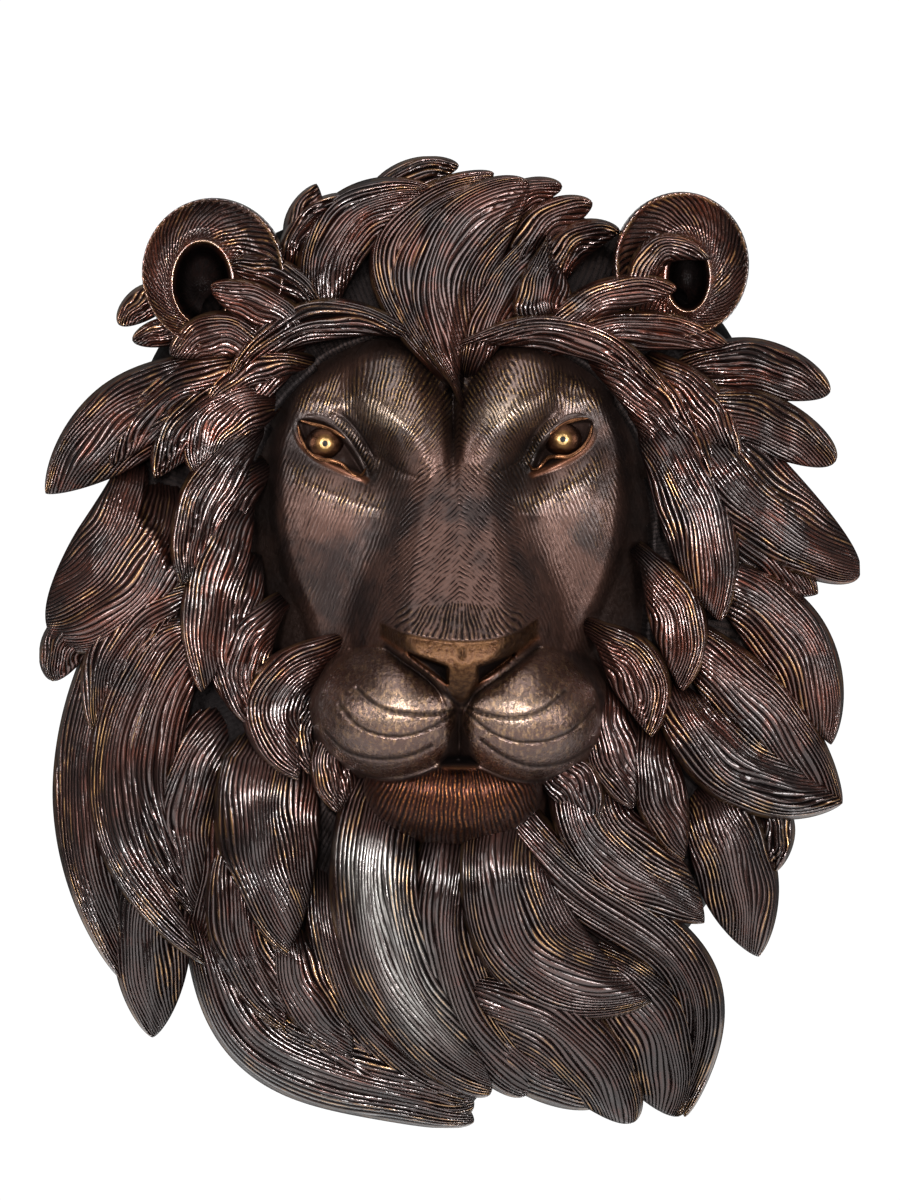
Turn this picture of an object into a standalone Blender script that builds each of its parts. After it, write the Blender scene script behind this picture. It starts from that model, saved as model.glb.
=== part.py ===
"""Brass lion head wall hanging: one hollow casting, mane of overlapping locks round a lion's face.

The head is laid out on a drawing sheet seen from the front. A place on the sheet is a column
(to the right) and a row (downward), counted in steps; a height is counted in steps too, out from
the wall. The head's real width, height and relief, each shared over the steps it takes up, say how
long a step is in each direction.
Metres, +Z up, the wall is the plane y = 0 and the face looks along -Y.
"""

import math

import bmesh
import bpy
import numpy as np

# Driving dimensions, in metres.
WIDTH = 0.5536              # leftmost tip of the mane to the rightmost
HEIGHT = 0.66               # topmost lock of the crown to the lowest tip of the beard
RELIEF = 0.205              # wall to the tip of the nose
WALL = 0.008                # least thickness of the casting over the hollow back
RIM = 0.018                 # width of the flat rim that lies against the wall
PAD_WIDTH = 0.080           # hanging pad across the top of the hollow
PAD_DROP = 0.030            # how far the pad reaches below the rim
PAD_THICKNESS = 0.012
PAD_CORNER = 0.012          # bevel of its lower corners
PAD_SETBACK = 0.004         # its upper edge stays this far inside the casting's
HANGING_BORE = 0.012        # hole in the pad for the wall hook
BORE_EDGE = 0.006           # metal left under the hole

# The drawing sheet.
LEFT_COLUMN, RIGHT_COLUMN = 43, 860
HEAD_ROW, FOOT_ROW = 153, 1127
NOSE_HEIGHT = 302
NOSE_COLUMN = 455
MOUNT_ROW = 222
STEP_ACROSS = WIDTH / (RIGHT_COLUMN - LEFT_COLUMN)
STEP_DOWN = HEIGHT / (FOOT_ROW - HEAD_ROW)
STEP_OUT = RELIEF / NOSE_HEIGHT

# The smooth swell that the mane lies on: half width, reach up and reach down, from its middle.
SWELL_COLUMN, SWELL_ROW = 452, 590
SWELL_HALF_WIDTH, SWELL_UP, SWELL_DOWN = 405, 430, 535
SWELL_EDGE, SWELL_RISE, SWELL_END = 6, 144, 1.05
# What it gains over the brow, under the chin and down the beard: column, row, half width, half
# height, rise.
SWELL_GAINS = ((453, 368, 92, 66, 44), (452, 840, 112, 90, 22), (440, 965, 135, 150, 50))
# The core that carries the locks, in the same terms; it keeps inside the notches between the tips.
CORE_COLUMN, CORE_ROW = 448, 575
CORE_HALF_WIDTH, CORE_UP, CORE_DOWN = 335, 375, 450
CORE_SINK = 14              # how far the core's front lies under the swell


def to_world(column, row, height):
    """A place on the sheet and a height from the wall, in metres from the mount."""
    return np.stack([(column - NOSE_COLUMN) * STEP_ACROSS, -height * STEP_OUT,
                     (MOUNT_ROW - row) * STEP_DOWN], -1)


def oval_share(column, row, middle_column, middle_row, half_width, up, down, power=2.4):
    """0 at an oval's middle and 1 on its edge; a power over 2 squares its corners."""
    across = np.abs(column - middle_column) / half_width
    along = np.abs(row - middle_row) / np.where(row < middle_row, up, down)
    return (across ** power + along ** power) ** (1 / power)


def hill(column, row, middle, middle_row, wide, tall, rise):
    """A soft round hill, or a hollow where rise is negative."""
    return rise * np.exp(-((column - middle) / wide) ** 2 - ((row - middle_row) / tall) ** 2)


def swell(column, row):
    """Height of the mane's smooth swell: full round the face and low at the tips."""
    share = oval_share(column, row, SWELL_COLUMN, SWELL_ROW, SWELL_HALF_WIDTH, SWELL_UP, SWELL_DOWN)
    height = SWELL_EDGE + SWELL_RISE * (1 - (np.minimum(share, SWELL_END) / SWELL_END) ** 2.4)
    return height + sum(hill(column, row, *gain) for gain in SWELL_GAINS)


# A lock springs at its root and ends at its tip, both (column, row). Its middle is bowed to the
# left of that way by bow steps, and swing turns it into an S. neck is its width at the root as a
# share of width, belly is where it is widest, and blunt under 1 rounds the tip. lift is how high
# it stands over the swell at root and tip, thick is how far its ridge stands over its edges.
BACK, LOW, MID, TOP = (-18, 0), (-10, 6), (-2, 12), (4, 18)
LOCKS = {}


def lock(name, root, tip, bow, width, swing=0, neck=0.55, belly=0.45, blunt=0.78, lift=MID, thick=21):
    """Enters one lock in the mane's plan."""
    LOCKS[name] = dict(root=root, tip=tip, bow=bow, width=width, swing=swing, neck=neck,
                       belly=belly, blunt=blunt, lift=lift, thick=thick)


# crown
lock("crown_back", (364, 238), (459, 167), 21, 40, blunt=0.55, lift=BACK)
lock("crown_spike", (302, 264), (317, 185), 4, 42, lift=BACK)
lock("crown_back_left", (335, 236), (381, 189), 11, 28, blunt=0.6, lift=BACK)
lock("crown_low", (285, 268), (350, 198), 12, 32, blunt=0.55, lift=LOW)
lock("crown_roll", (320, 312), (430, 188), 34, 68)
lock("crown_sweep", (438, 362), (494, 175), 70, 54, lift=LOW, blunt=0.55)
lock("crown_inner_sweep", (438, 358), (484, 184), 46, 56, blunt=0.8)
lock("forelock", (455, 388), (528, 184), 44, 88, neck=0.1, belly=0.58, blunt=0.6, lift=(2, 20), thick=29)
lock("crown_right_back", (488, 238), (562, 188), 14, 36, blunt=0.5, lift=BACK)
lock("crown_right_mid", (518, 288), (592, 205), 20, 48, blunt=0.55, lift=LOW)
lock("crown_right_curl", (548, 292), (619, 233), 20, 42, blunt=0.6, lift=LOW)
lock("crown_tuft", (542, 322), (546, 238), 2, 64, neck=0.9, belly=0.12, blunt=1.4, lift=TOP)
# hair before the right ear, upper right of the ring round the face
lock("ear_right_tuft", (548, 334), (674, 292), 14, 38, blunt=0.5, lift=(4, 34))
lock("ear_right_low", (550, 348), (725, 346), 14, 42, blunt=0.6, lift=(0, 18))
lock("ring_top_right", (468, 346), (668, 399), 33, 40, neck=0.3, lift=TOP)
lock("ring_right_1", (655, 368), (737, 460), 6, 52)
lock("ring_right_2", (600, 362), (698, 458), 8, 54)
lock("ring_right_3", (640, 404), (712, 506), 8, 58, neck=0.7)
lock("ring_right_4", (660, 436), (717, 621), 8, 74, neck=0.7, blunt=0.7, lift=TOP, thick=29)
lock("ring_right_5", (646, 562), (679, 690), 14, 58, neck=0.4, lift=TOP)
lock("ring_right_6", (598, 632), (648, 735), 16, 60, neck=0.4, lift=TOP)
lock("ring_right_7", (594, 690), (630, 806), -2, 60)
lock("ring_right_8", (645, 730), (680, 858), -4, 54)
lock("ring_right_9", (540, 752), (596, 818), 6, 54, neck=0.6, lift=(4, 14))
# outer right
lock("outer_right_1", (690, 366), (829, 393), 9, 60, blunt=0.55, lift=LOW)
lock("outer_right_2", (700, 404), (834, 462), 6, 60, blunt=0.5)
lock("outer_right_3", (704, 446), (858, 577), -8, 94, neck=0.8, belly=0.25, blunt=0.52, thick=29)
lock("outer_right_4", (690, 505), (816, 594), 0, 76, lift=BACK)
lock("outer_right_5", (715, 575), (829, 744), 24, 78, thick=25)
lock("outer_right_6", (692, 640), (841, 803), 0, 78, thick=25)
lock("outer_right_7", (670, 700), (841, 802), -22, 80, lift=TOP, thick=29)
lock("outer_right_8", (772, 795), (774, 870), 2, 38, lift=LOW)
lock("outer_right_9", (712, 800), (757, 955), 2, 82, neck=0.85, thick=25)
lock("outer_right_10", (572, 772), (702, 920), -16, 84, neck=0.65, swing=-6)
# beard
lock("beard_long", (498, 796), (684, 1116), 58, 62, swing=-28, neck=0.8, blunt=0.6, lift=(-14, 12), thick=25)
lock("beard_leaf", (592, 960), (678, 1116), 14, 104, blunt=0.6, lift=LOW, thick=27)
lock("beard_right", (498, 828), (650, 998), -50, 104, neck=0.7, lift=TOP, thick=29)
lock("beard_low", (476, 985), (634, 1121), 18, 88, blunt=0.52, thick=27)
lock("beard_middle", (452, 838), (526, 1092), -30, 84, neck=0.75, blunt=0.5, lift=LOW)
lock("beard_foot", (470, 1004), (606, 1100), -8, 70, neck=0.7, blunt=0.55, lift=BACK)
lock("beard_centre", (380, 800), (490, 1090), -46, 90, neck=0.85, belly=0.35, blunt=0.5, lift=TOP, thick=27)
lock("beard_left", (325, 888), (468, 1102), -26, 76, blunt=0.6, lift=LOW)
lock("beard_under", (390, 980), (474, 1098), -6, 88, blunt=0.5, lift=BACK)
lock("beard_left_leaf", (287, 930), (354, 1054), -8, 64)
lock("beard_bottom", (206, 938), (474, 1119), -38, 89, swing=-13, neck=0.46, blunt=0.6, lift=LOW, thick=27)
lock("beard_bottom_inner", (285, 1010), (474, 1104), -12, 68, blunt=0.45, lift=LOW)
# lower left
lock("left_leaf", (270, 757), (289, 951), -8, 106, neck=0.9, belly=0.3, lift=MID, thick=31)
lock("left_curl", (232, 850), (286, 1028), -12, 70, neck=0.5, lift=MID)
lock("left_spike", (158, 848), (153, 1037), -3, 80, neck=0.75, belly=0.48, blunt=0.72, lift=LOW, thick=25)
lock("left_long_1", (106, 645), (121, 978), -27, 66, lift=LOW)
lock("left_long_2", (165, 628), (208, 962), -66, 66, lift=TOP)
lock("left_long_3", (205, 628), (192, 906), -46, 62)
lock("left_long_4", (214, 726), (194, 912), -22, 66, neck=0.8, lift=LOW)
lock("left_long_5", (222, 785), (200, 962), 4, 68, lift=(-22, -8))
lock("left_long_6", (236, 880), (214, 990), 0, 56, lift=(-26, -14))
lock("left_fall_1", (198, 586), (94, 730), -30, 56)
lock("left_fall_2", (200, 622), (114, 706), -10, 52, lift=LOW)
lock("left_stub", (92, 616), (54, 681), -8, 50, blunt=0.55, lift=LOW)
lock("left_broken", (165, 495), (53, 638), 15, 122, neck=0.9, belly=0.4, blunt=0.46, lift=(4, 6), thick=29)
lock("left_upper_1", (206, 376), (47, 494), -9, 88, thick=27)
lock("left_upper_2", (235, 372), (113, 467), -17, 58, lift=TOP)
lock("left_upper_3", (252, 386), (158, 480), -14, 58)
lock("ring_left_0", (298, 350), (214, 432), -8, 52, neck=0.6, lift=LOW)
lock("ring_left_1", (264, 398), (195, 474), -12, 70, neck=0.75)
lock("ring_left_2", (248, 440), (184, 586), -10, 58, lift=TOP)
lock("ring_left_between", (252, 476), (196, 604), -12, 56, neck=0.7, lift=LOW)
lock("ring_left_3", (236, 522), (205, 691), -6, 62, neck=0.7, lift=TOP)
lock("ring_left_4", (246, 570), (230, 702), -4, 60, neck=0.7, lift=LOW)
lock("ring_left_5", (272, 612), (253, 724), -18, 54)
lock("ring_left_6", (326, 648), (302, 777), -38, 66, neck=0.4, lift=TOP)
lock("ring_left_7", (322, 690), (312, 772), -10, 38, lift=LOW)
lock("ring_left_8", (337, 722), (339, 809), -2, 52)
# hair before the left ear, upper left of the ring round the face
lock("ear_left_low", (264, 350), (173, 358), -16, 50, blunt=0.6, lift=(6, 22))
lock("ear_left_tuft", (310, 336), (213, 289), -3, 44, blunt=0.55, lift=(2, 34))
lock("ear_left_upper", (320, 306), (231, 264), -6, 38, blunt=0.55, lift=(0, 24))
lock("ring_top_left", (400, 333), (231, 377), -30, 44, neck=0.4, lift=TOP)
lock("ring_top_left_2", (302, 364), (204, 409), -10, 38, neck=0.5)
lock("back_left_1", (172, 292), (120, 326), -5, 36, blunt=0.55, lift=BACK)
lock("back_left_2", (192, 330), (134, 342), -2, 30, blunt=0.55, lift=LOW)
# hair behind the forelock, and the curl inside the right ear
lock("crown_behind", (472, 364), (538, 234), 4, 50, neck=0.6, lift=LOW)
lock("ear_right_inner", (634, 298), (708, 262), 30, 34, neck=0.7, blunt=0.6, lift=(14, 44))

# A lock's section, counted in its half width and its thickness: the front is a dome from edge to
# edge that leans to the lock's outer edge, and the underside is flat, this far down.
LOCK_BANDS, LOCK_DOME = 15, 8
LOCK_EDGE, LOCK_UNDER = -0.2, -0.75
DOME_POWER, DOME_LEAN = 0.7, 0.22
# No lock comes nearer the wall than this.
OFF_WALL = 2
# A lock starts this share of its way before its root, and over the next share it rises by so many
# steps out of what it grows from.
ROOT_REACH, ROOT_SHARE, ROOT_SINK = 0.14, 0.34, 24
# How much thinner and narrower a lock is where it starts, and how much thinner at its tip.
ROOT_THINNING, ROOT_NARROWING, TIP_THINNING = 0.5, 0.35, 0.75


def lock_way(plan, along):
    """Middle of a lock at each share along it, and the unit vector across it to its left."""
    root, tip = np.array(plan["root"], float), np.array(plan["tip"], float)
    way = tip - root
    left = np.array([way[1], -way[0]]) / math.hypot(*way)
    off = 4 * plan["bow"] * along * (1 - along) + plan["swing"] * np.sin(2 * math.pi * along)
    turn = 4 * plan["bow"] * (1 - 2 * along) + 2 * math.pi * plan["swing"] * np.cos(2 * math.pi * along)
    middle = root + way * along[:, None] + left * off[:, None]
    heading = way + left * turn[:, None]
    heading /= np.linalg.norm(heading, axis=1, keepdims=True)
    return middle, np.stack([heading[:, 1], -heading[:, 0]], 1)


def lock_width(plan, along):
    """Half width: swells from the neck to the belly, then closes to the tip."""
    grow = plan["neck"] + (1 - plan["neck"]) * np.sin(math.pi / 2 * np.clip(along / plan["belly"], 0, 1))
    grow *= 1 + ROOT_NARROWING * np.minimum(along, 0) / ROOT_REACH
    past = np.maximum(along - plan["belly"], 0) / (1 - plan["belly"])
    return plan["width"] / 2 * np.where(past > 0, (1 - past ** 1.8) ** plan["blunt"], grow)


def rooted(column, row, height):
    """An underside: free beyond the core, and sunk into it where the lock grows from it."""
    share = oval_share(column, row, CORE_COLUMN, CORE_ROW, CORE_HALF_WIDTH, CORE_UP, CORE_DOWN)
    free = np.clip((share - 0.88) / 0.12, 0, 1)
    return height * free + np.minimum(height, swell(column, row) - CORE_SINK - 16) * (1 - free)


def closed_mesh(name, points, faces):
    """A mesh object with its faces turned outward."""
    mesh = bpy.data.meshes.new(name)
    mesh.from_pydata([tuple(p) for p in points], [], faces)
    shape = bmesh.new()
    shape.from_mesh(mesh)
    bmesh.ops.recalc_face_normals(shape, faces=shape.faces)
    if shape.calc_volume(signed=True) < 0:
        bmesh.ops.reverse_faces(shape, faces=shape.faces)
    shape.to_mesh(mesh)
    shape.free()
    thing = bpy.data.objects.new(name, mesh)
    bpy.context.scene.collection.objects.link(thing)
    return thing


def ring_faces(rings, around):
    """Quads between rings that each hold the same number of points."""
    faces = []
    for ring in range(rings - 1):
        for point in range(around):
            after = (point + 1) % around
            low, high = ring * around, (ring + 1) * around
            faces.append((low + point, low + after, high + after, high + point))
    return faces


# The broken lock: the line of its break, from top to bottom, how deep the break lies under the lock,
# and how soon it reaches that depth to the side of the line and over its lower end.
BREAK_LINE = ((150, 474), (141, 520), (158, 534), (172, 566))
BREAK_DEPTH, BREAK_SIDE, BREAK_END = 24, 3, 4


def broken(column, row):
    """1 where the broken lock has come away, to the right of the line of the break."""
    columns, rows = zip(*BREAK_LINE)
    past = np.clip((column - np.interp(row, rows, columns)) / BREAK_SIDE, 0, 1)
    return past * np.clip((rows[-1] - row) / BREAK_END, 0, 1)


def lock_body(name, plan):
    """A flame of hair: a domed section carried along its bowed way, closed by its root and tip."""
    along = 1 - (1 + ROOT_REACH) * np.linspace(1, 0, LOCK_BANDS, endpoint=False) ** 1.4
    middle, left = lock_way(plan, along)
    half = lock_width(plan, along)
    rooted_by = 1 - np.clip((along + ROOT_REACH) / ROOT_SHARE, 0, 1)
    lift = np.interp(along, (0, 1), plan["lift"]) - ROOT_SINK * rooted_by ** 2
    full = plan["thick"] * (1 - TIP_THINNING * np.maximum(along, 0) ** 4) * (1 - ROOT_THINNING * rooted_by ** 2)
    outer = 1 if plan["bow"] >= 0 else -1
    section = []
    for across in np.linspace(-1, 1, LOCK_DOME + 1):
        leaning = across - DOME_LEAN * outer * (1 - across * across)
        dome = max(1 - leaning * leaning, 0) ** DOME_POWER
        section.append((across, LOCK_EDGE + (1 - LOCK_EDGE) * dome))
    section += [(0.7, LOCK_UNDER), (0, LOCK_UNDER), (-0.7, LOCK_UNDER)]
    rings = []
    for across, stand in section:
        column, row = (middle + left * (half * across)[:, None]).T
        height = swell(column, row) + lift + full * stand
        if stand == LOCK_UNDER:
            height = rooted(column, row, height)
        height = np.maximum(height, OFF_WALL + full * (stand - LOCK_UNDER))
        if name == "left_broken" and stand != LOCK_UNDER:
            height = height - BREAK_DEPTH * broken(column, row)
        rings.append(to_world(column, row, height))
    points = np.stack(rings, 1).reshape(-1, 3)
    tip = np.array([plan["tip"]], float)
    end = to_world(tip[:, 0], tip[:, 1], swell(tip[:, 0], tip[:, 1]) + plan["lift"][1])
    around = len(section)
    last = (len(along) - 1) * around
    faces = ring_faces(len(along), around)
    faces.append(tuple(range(around)))
    faces += [(last + point, last + (point + 1) % around, len(points)) for point in range(around)]
    return closed_mesh(name, np.vstack([points, end]), faces)


# The face: an oval, its half width, reach up and reach down, from its middle.
FACE_COLUMN, FACE_ROW = 450, 530
FACE_HALF_WIDTH, FACE_UP, FACE_DOWN = 204, 206, 330
FACE_EDGE, FACE_RISE = 90, 92
# Middle line of the face from the brow to the lip: row, height, half width of the flat of the nose.
BRIDGE = ((340, 132, 18), (390, 154, 24), (430, 168, 28), (460, 184, 35), (482, 196, 43), (505, 208, 50),
          (540, 228, 59), (580, 254, 67), (612, 276, 73), (632, 292, 72), (646, 298, 66), (659, 300, 54),
          (673, 296, 36), (688, 284, 22), (705, 262, 14), (722, 214, 10), (740, 180, 8))
# Where the flanks of the nose start and how softly they run out, in its half widths, and the rows
# between which they end over the lip.
FLANK_START, FLANK_RUN = 0.58, 0.60
FLANK_END = (715, 750)
# Rounded masses: column, row, half width, half height, turn, height where they spring, rise, how
# softly they join the rest, and how far they lean back upward (or, below 0, downward).
MASSES = {
    "snout": (457, 636, 104, 116, 0, 144, 84, 40, 0),
    "muzzle": (457, 706, 118, 92, 0, 150, 92, 30, 0),
    "pad_left": (399, 709, 81, 69, 0, 168, 116, 10, 0),
    "pad_right": (518, 711, 79, 69, 0, 168, 116, 10, 0),
    "chin": (452, 788, 89, 54, 0, 142, 100, 10, 0),
    "lobe_left": (402, 411, 42, 74, -0.46, 140, 54, 34, 0.3),
    "lobe_right": (506, 409, 42, 73, 0.46, 140, 54, 34, 0.3),
}
# Soft swellings and hollows: column, row, half width, half height, rise.
SWELLINGS = {
    "brow_left": (320, 402, 40, 26, 9),
    "brow_right": (580, 398, 38, 26, 9),
    "cheek_left": (305, 520, 42, 60, 12),
    "cheek_right": (598, 515, 40, 60, 12),
    "socket_left": (338, 452, 46, 28, -13),
    "socket_right": (552, 448, 44, 28, -13),
    "eye_left": (331, 450, 20, 14, 14),
    "eye_right": (559, 446, 19, 14, 14),
    "inner_socket_left": (377, 462, 20, 30, -26),
    "inner_socket_right": (526, 464, 19, 30, -26),
    "cleft": (453, 424, 6, 46, -26),
    "cleft_sides": (453, 410, 22, 50, -4),
    "lobe_foot_left": (392, 432, 24, 22, 10),
    "lobe_foot_right": (514, 430, 24, 22, 10),
    "lobe_top_left": (372, 372, 30, 22, -8),
    "lobe_top_right": (538, 370, 30, 22, -8),
    "hollow_left": (352, 640, 26, 60, -14),
    "hollow_right": (566, 640, 26, 60, -14),
    "philtrum": (459, 730, 6, 30, -14),
    "mouth": (457, 757, 13, 6, -16),
}
# The channel round the face: rows, where it starts across the oval at each of them, the width of that
# step, its depth, and the rows between which it ends beside the muzzle.
CHANNEL_ROWS, CHANNEL, CHANNEL_WIDTH, CHANNEL_DEPTH = (450, 560, 615), (0.865, 0.80, 0.72), 0.045, 15
CHANNEL_END = (640, 700)


def smooth_max(a, b, blend):
    """The greater of two heights, rounded over where they are within blend of each other."""
    mix = np.clip(0.5 + 0.5 * (a - b) / blend, 0, 1)
    return b + (a - b) * mix + blend * mix * (1 - mix)


def smooth_curve(at, knots, values):
    """A smooth curve through the values given at the knots."""
    knots, values = np.array(knots, float), np.array(values, float)
    slope = np.gradient(values, knots)
    at = np.clip(at, knots[0], knots[-1])
    left = np.clip(np.searchsorted(knots, at, side="right") - 1, 0, len(knots) - 2)
    span = knots[left + 1] - knots[left]
    t = (at - knots[left]) / span
    return ((2 * t ** 3 - 3 * t ** 2 + 1) * values[left] + (t ** 3 - 2 * t ** 2 + t) * span * slope[left]
            + (3 * t ** 2 - 2 * t ** 3) * values[left + 1] + (t ** 3 - t ** 2) * span * slope[left + 1])


def soft(value, low, high):
    """0 below low, 1 above high, smooth between them."""
    t = np.clip((value - low) / (high - low), 0, 1)
    return t * t * (3 - 2 * t)


def face_height(column, row):
    """Height of the lion's face over the sheet."""
    power = np.where(row < FACE_ROW, 3.0, 2.2)
    share = oval_share(column, row, FACE_COLUMN, FACE_ROW, FACE_HALF_WIDTH, FACE_UP, FACE_DOWN, power)
    height = FACE_EDGE + FACE_RISE * np.where(share < 1, 1 - share ** 1.9, -2.2 * (share - 1))
    rows, tops, halves = zip(*BRIDGE)
    out = np.abs(column - (NOSE_COLUMN + 1)) / smooth_curve(row, rows, halves)
    flank = np.exp(-(np.maximum(out - FLANK_START, 0) / FLANK_RUN) ** 2) * (1 - soft(row, *FLANK_END))
    height += (smooth_curve(row, rows, tops) - 10 * np.minimum(out, 1.5) ** 2 - height) * flank
    for middle, middle_row, wide, tall, turn, spring, rise, blend, lean in MASSES.values():
        x, y = column - middle, row - middle_row
        out = np.hypot((x * math.cos(turn) + y * math.sin(turn)) / wide,
                       (y * math.cos(turn) - x * math.sin(turn)) / tall)
        mass = spring + rise * (np.sqrt(np.maximum(1 - out ** 2, 0)) - 2 * np.maximum(out - 1, 0))
        height = smooth_max(height, mass + lean * y, blend)
    edge = smooth_curve(row, CHANNEL_ROWS, CHANNEL)
    channel = soft(share, edge - CHANNEL_WIDTH, edge + CHANNEL_WIDTH) * (1 - soft(row, *CHANNEL_END))
    height -= CHANNEL_DEPTH * channel
    return height + sum(hill(column, row, *sizes) for sizes in SWELLINGS.values())


FACE_COLUMNS, FACE_ROWS = 90, 120


def face_body():
    """The face as a block whose front follows face_height; its edges are buried in the core."""
    across = np.linspace(-1, 1, FACE_COLUMNS)
    down = np.linspace(-1, 1, FACE_ROWS)
    column = FACE_COLUMN + FACE_HALF_WIDTH * 1.06 * (0.75 * across + 0.25 * across ** 3)
    row = FACE_ROW + np.where(down < 0, FACE_UP, FACE_DOWN) * 1.06 * (0.85 * down + 0.15 * down ** 3)
    grid_column, grid_row = np.meshgrid(column, row)
    front = to_world(grid_column, grid_row, np.maximum(face_height(grid_column, grid_row), 48))
    back = to_world(grid_column, grid_row, np.full(grid_column.shape, 40.0))
    wide, tall = FACE_COLUMNS, FACE_ROWS
    rim = [i for i in range(wide)] + [i * wide + wide - 1 for i in range(1, tall)]
    rim += [(tall - 1) * wide + i for i in range(wide - 2, -1, -1)] + [i * wide for i in range(tall - 2, 0, -1)]
    faces = [(j * wide + i, j * wide + i + 1, (j + 1) * wide + i + 1, (j + 1) * wide + i)
             for j in range(tall - 1) for i in range(wide - 1)]
    start = wide * tall
    faces += [(rim[i], rim[(i + 1) % len(rim)], start + (i + 1) % len(rim), start + i) for i in range(len(rim))]
    faces.append(tuple(start + i for i in range(len(rim))))
    points = np.vstack([front.reshape(-1, 3), back.reshape(-1, 3)[rim]])
    return closed_mesh("face", points, faces)


# Each ear: middle, half width and half height of the rim, then the same of the dark hollow.
EARS = {
    "ear_left": ((216, 276), (71, 74), (204, 286), (28, 40)),
    "ear_right": ((679, 268), (67, 72), (686, 280), (20, 33)),
}
# From the back of the ear over the rim into the hollow: 1 is on the rim's outline and 0 on the
# hollow's, then the height from the wall.
EAR_SECTION = ((0.45, 18), (0.94, 44), (1.0, 80), (0.98, 102), (0.91, 102), (0.74, 91), (0.5, 79), (0.3, 73),
               (0.05, 80), (-0.12, 58), (-0.8, 38))
EAR_SIDES = 40


def ear_body(name, rim_middle, rim_half, hollow_middle, hollow_half):
    """A round cupped ear: a rolled furry rim that falls into a smooth hollow."""
    turn = np.linspace(0, 2 * math.pi, EAR_SIDES, endpoint=False)
    rings = []
    for share, height in EAR_SECTION:
        part = max(share, 0)
        shrink = 1 + min(share, 0)
        middle = np.array(hollow_middle) * (1 - part) + np.array(rim_middle) * part
        half = (np.array(hollow_half) * (1 - part) + np.array(rim_half) * part) * shrink
        column = middle[0] + half[0] * np.cos(turn)
        row = middle[1] + half[1] * np.sin(turn)
        rings.append(to_world(column, row, np.full(EAR_SIDES, float(height))))
    points = np.concatenate(rings)
    faces = ring_faces(len(rings), EAR_SIDES)
    faces.append(tuple(range(EAR_SIDES)))
    faces.append(tuple((len(rings) - 1) * EAR_SIDES + i for i in range(EAR_SIDES)))
    return closed_mesh(name, points, faces)


# The core under the mane, and the hollow behind it.
CORE_SIDES = 64
CORE_SHARES = (1, 1, 0.97, 0.92, 0.82, 0.66, 0.5, 0.3)
CORE_RISE = (0, 0.5, 0.85, 1)   # the first rings climb the core's side
FACE_BED = 62               # the core's height behind the face
HOLLOW_SIDES = 36
HOLLOW_SHARES = (1, 1, 0.97, 0.86, 0.7, 0.5, 0.3, 0.15)
# The hollow's roof: the rise of its oval dome, the share of the core at which that ends, how deep it
# goes into the muzzle (a hill, as above), and its least height beside the rim.
HOLLOW_RISE, HOLLOW_END = 88, 1.04
HOLLOW_MUZZLE = (457, 690, 82, 74, 118)
HOLLOW_LEAST = 6
HOLLOW_FOOT = -30           # the cutter starts this far behind the wall


def oval_ring(share, sides, inset=0.0):
    """Columns and rows of a ring round the core at a share of its size, moved in by inset metres."""
    turn = np.linspace(0, 2 * math.pi, sides, endpoint=False)
    across, along = np.cos(turn), np.sin(turn)
    reach = (np.abs(across) ** 2.4 + np.abs(along) ** 2.4) ** (-1 / 2.4) * share
    column = CORE_COLUMN + (CORE_HALF_WIDTH - inset / STEP_ACROSS) * across * reach
    row = CORE_ROW + (np.where(along < 0, CORE_UP, CORE_DOWN) - inset / STEP_DOWN) * along * reach
    return column, row


def core_front(column, row):
    """Front of the core: just under the swell, sunk to a bed behind the face."""
    share = oval_share(column, row, FACE_COLUMN, FACE_ROW, FACE_HALF_WIDTH, FACE_UP, FACE_DOWN, 2.2)
    mane = swell(column, row) - CORE_SINK
    return np.where(share < 0.97, FACE_BED + (FACE_EDGE - FACE_BED) * share ** 3, mane)


def core_body():
    """The shell under the mane, from the wall up to just under the locks."""
    rings = []
    for ring, share in enumerate(CORE_SHARES):
        column, row = oval_ring(share, CORE_SIDES)
        height = core_front(column, row) * CORE_RISE[min(ring, 3)]
        rings.append(to_world(column, row, height))
    points = np.concatenate(rings)
    faces = ring_faces(len(rings), CORE_SIDES)
    faces.append(tuple(range(CORE_SIDES)))
    faces.append(tuple((len(rings) - 1) * CORE_SIDES + i for i in range(CORE_SIDES)))
    return closed_mesh("core", points, faces)


def hollow_height(column, row):
    """Roof of the hollow: a wall's thickness under the mane and the cheeks, deep in the muzzle."""
    share = oval_share(column, row, CORE_COLUMN, CORE_ROW, CORE_HALF_WIDTH, CORE_UP, CORE_DOWN)
    roof = HOLLOW_RISE * np.sqrt(np.maximum(1 - (share / HOLLOW_END) ** 2.2, 0))
    return roof + hill(column, row, *HOLLOW_MUZZLE) - WALL / STEP_OUT


def hollow_cutter():
    """Everything that is open from the back."""
    rings = []
    for ring, share in enumerate(HOLLOW_SHARES):
        column, row = oval_ring(share, HOLLOW_SIDES, RIM)
        height = np.maximum(hollow_height(column, row), HOLLOW_LEAST)
        if ring == 0:
            height = np.full(HOLLOW_SIDES, float(HOLLOW_FOOT))
        rings.append(to_world(column, row, height))
    middle = np.array([[float(CORE_COLUMN), float(CORE_ROW)]])
    top = to_world(middle[:, 0], middle[:, 1], hollow_height(middle[:, 0], middle[:, 1]))
    points = np.vstack(rings + [top])
    faces = ring_faces(len(rings), HOLLOW_SIDES)
    faces.append(tuple(range(HOLLOW_SIDES)))
    last = (len(rings) - 1) * HOLLOW_SIDES
    faces += [(last + i, last + (i + 1) % HOLLOW_SIDES, len(points) - 1) for i in range(HOLLOW_SIDES)]
    return closed_mesh("hollow", points, faces)


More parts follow.
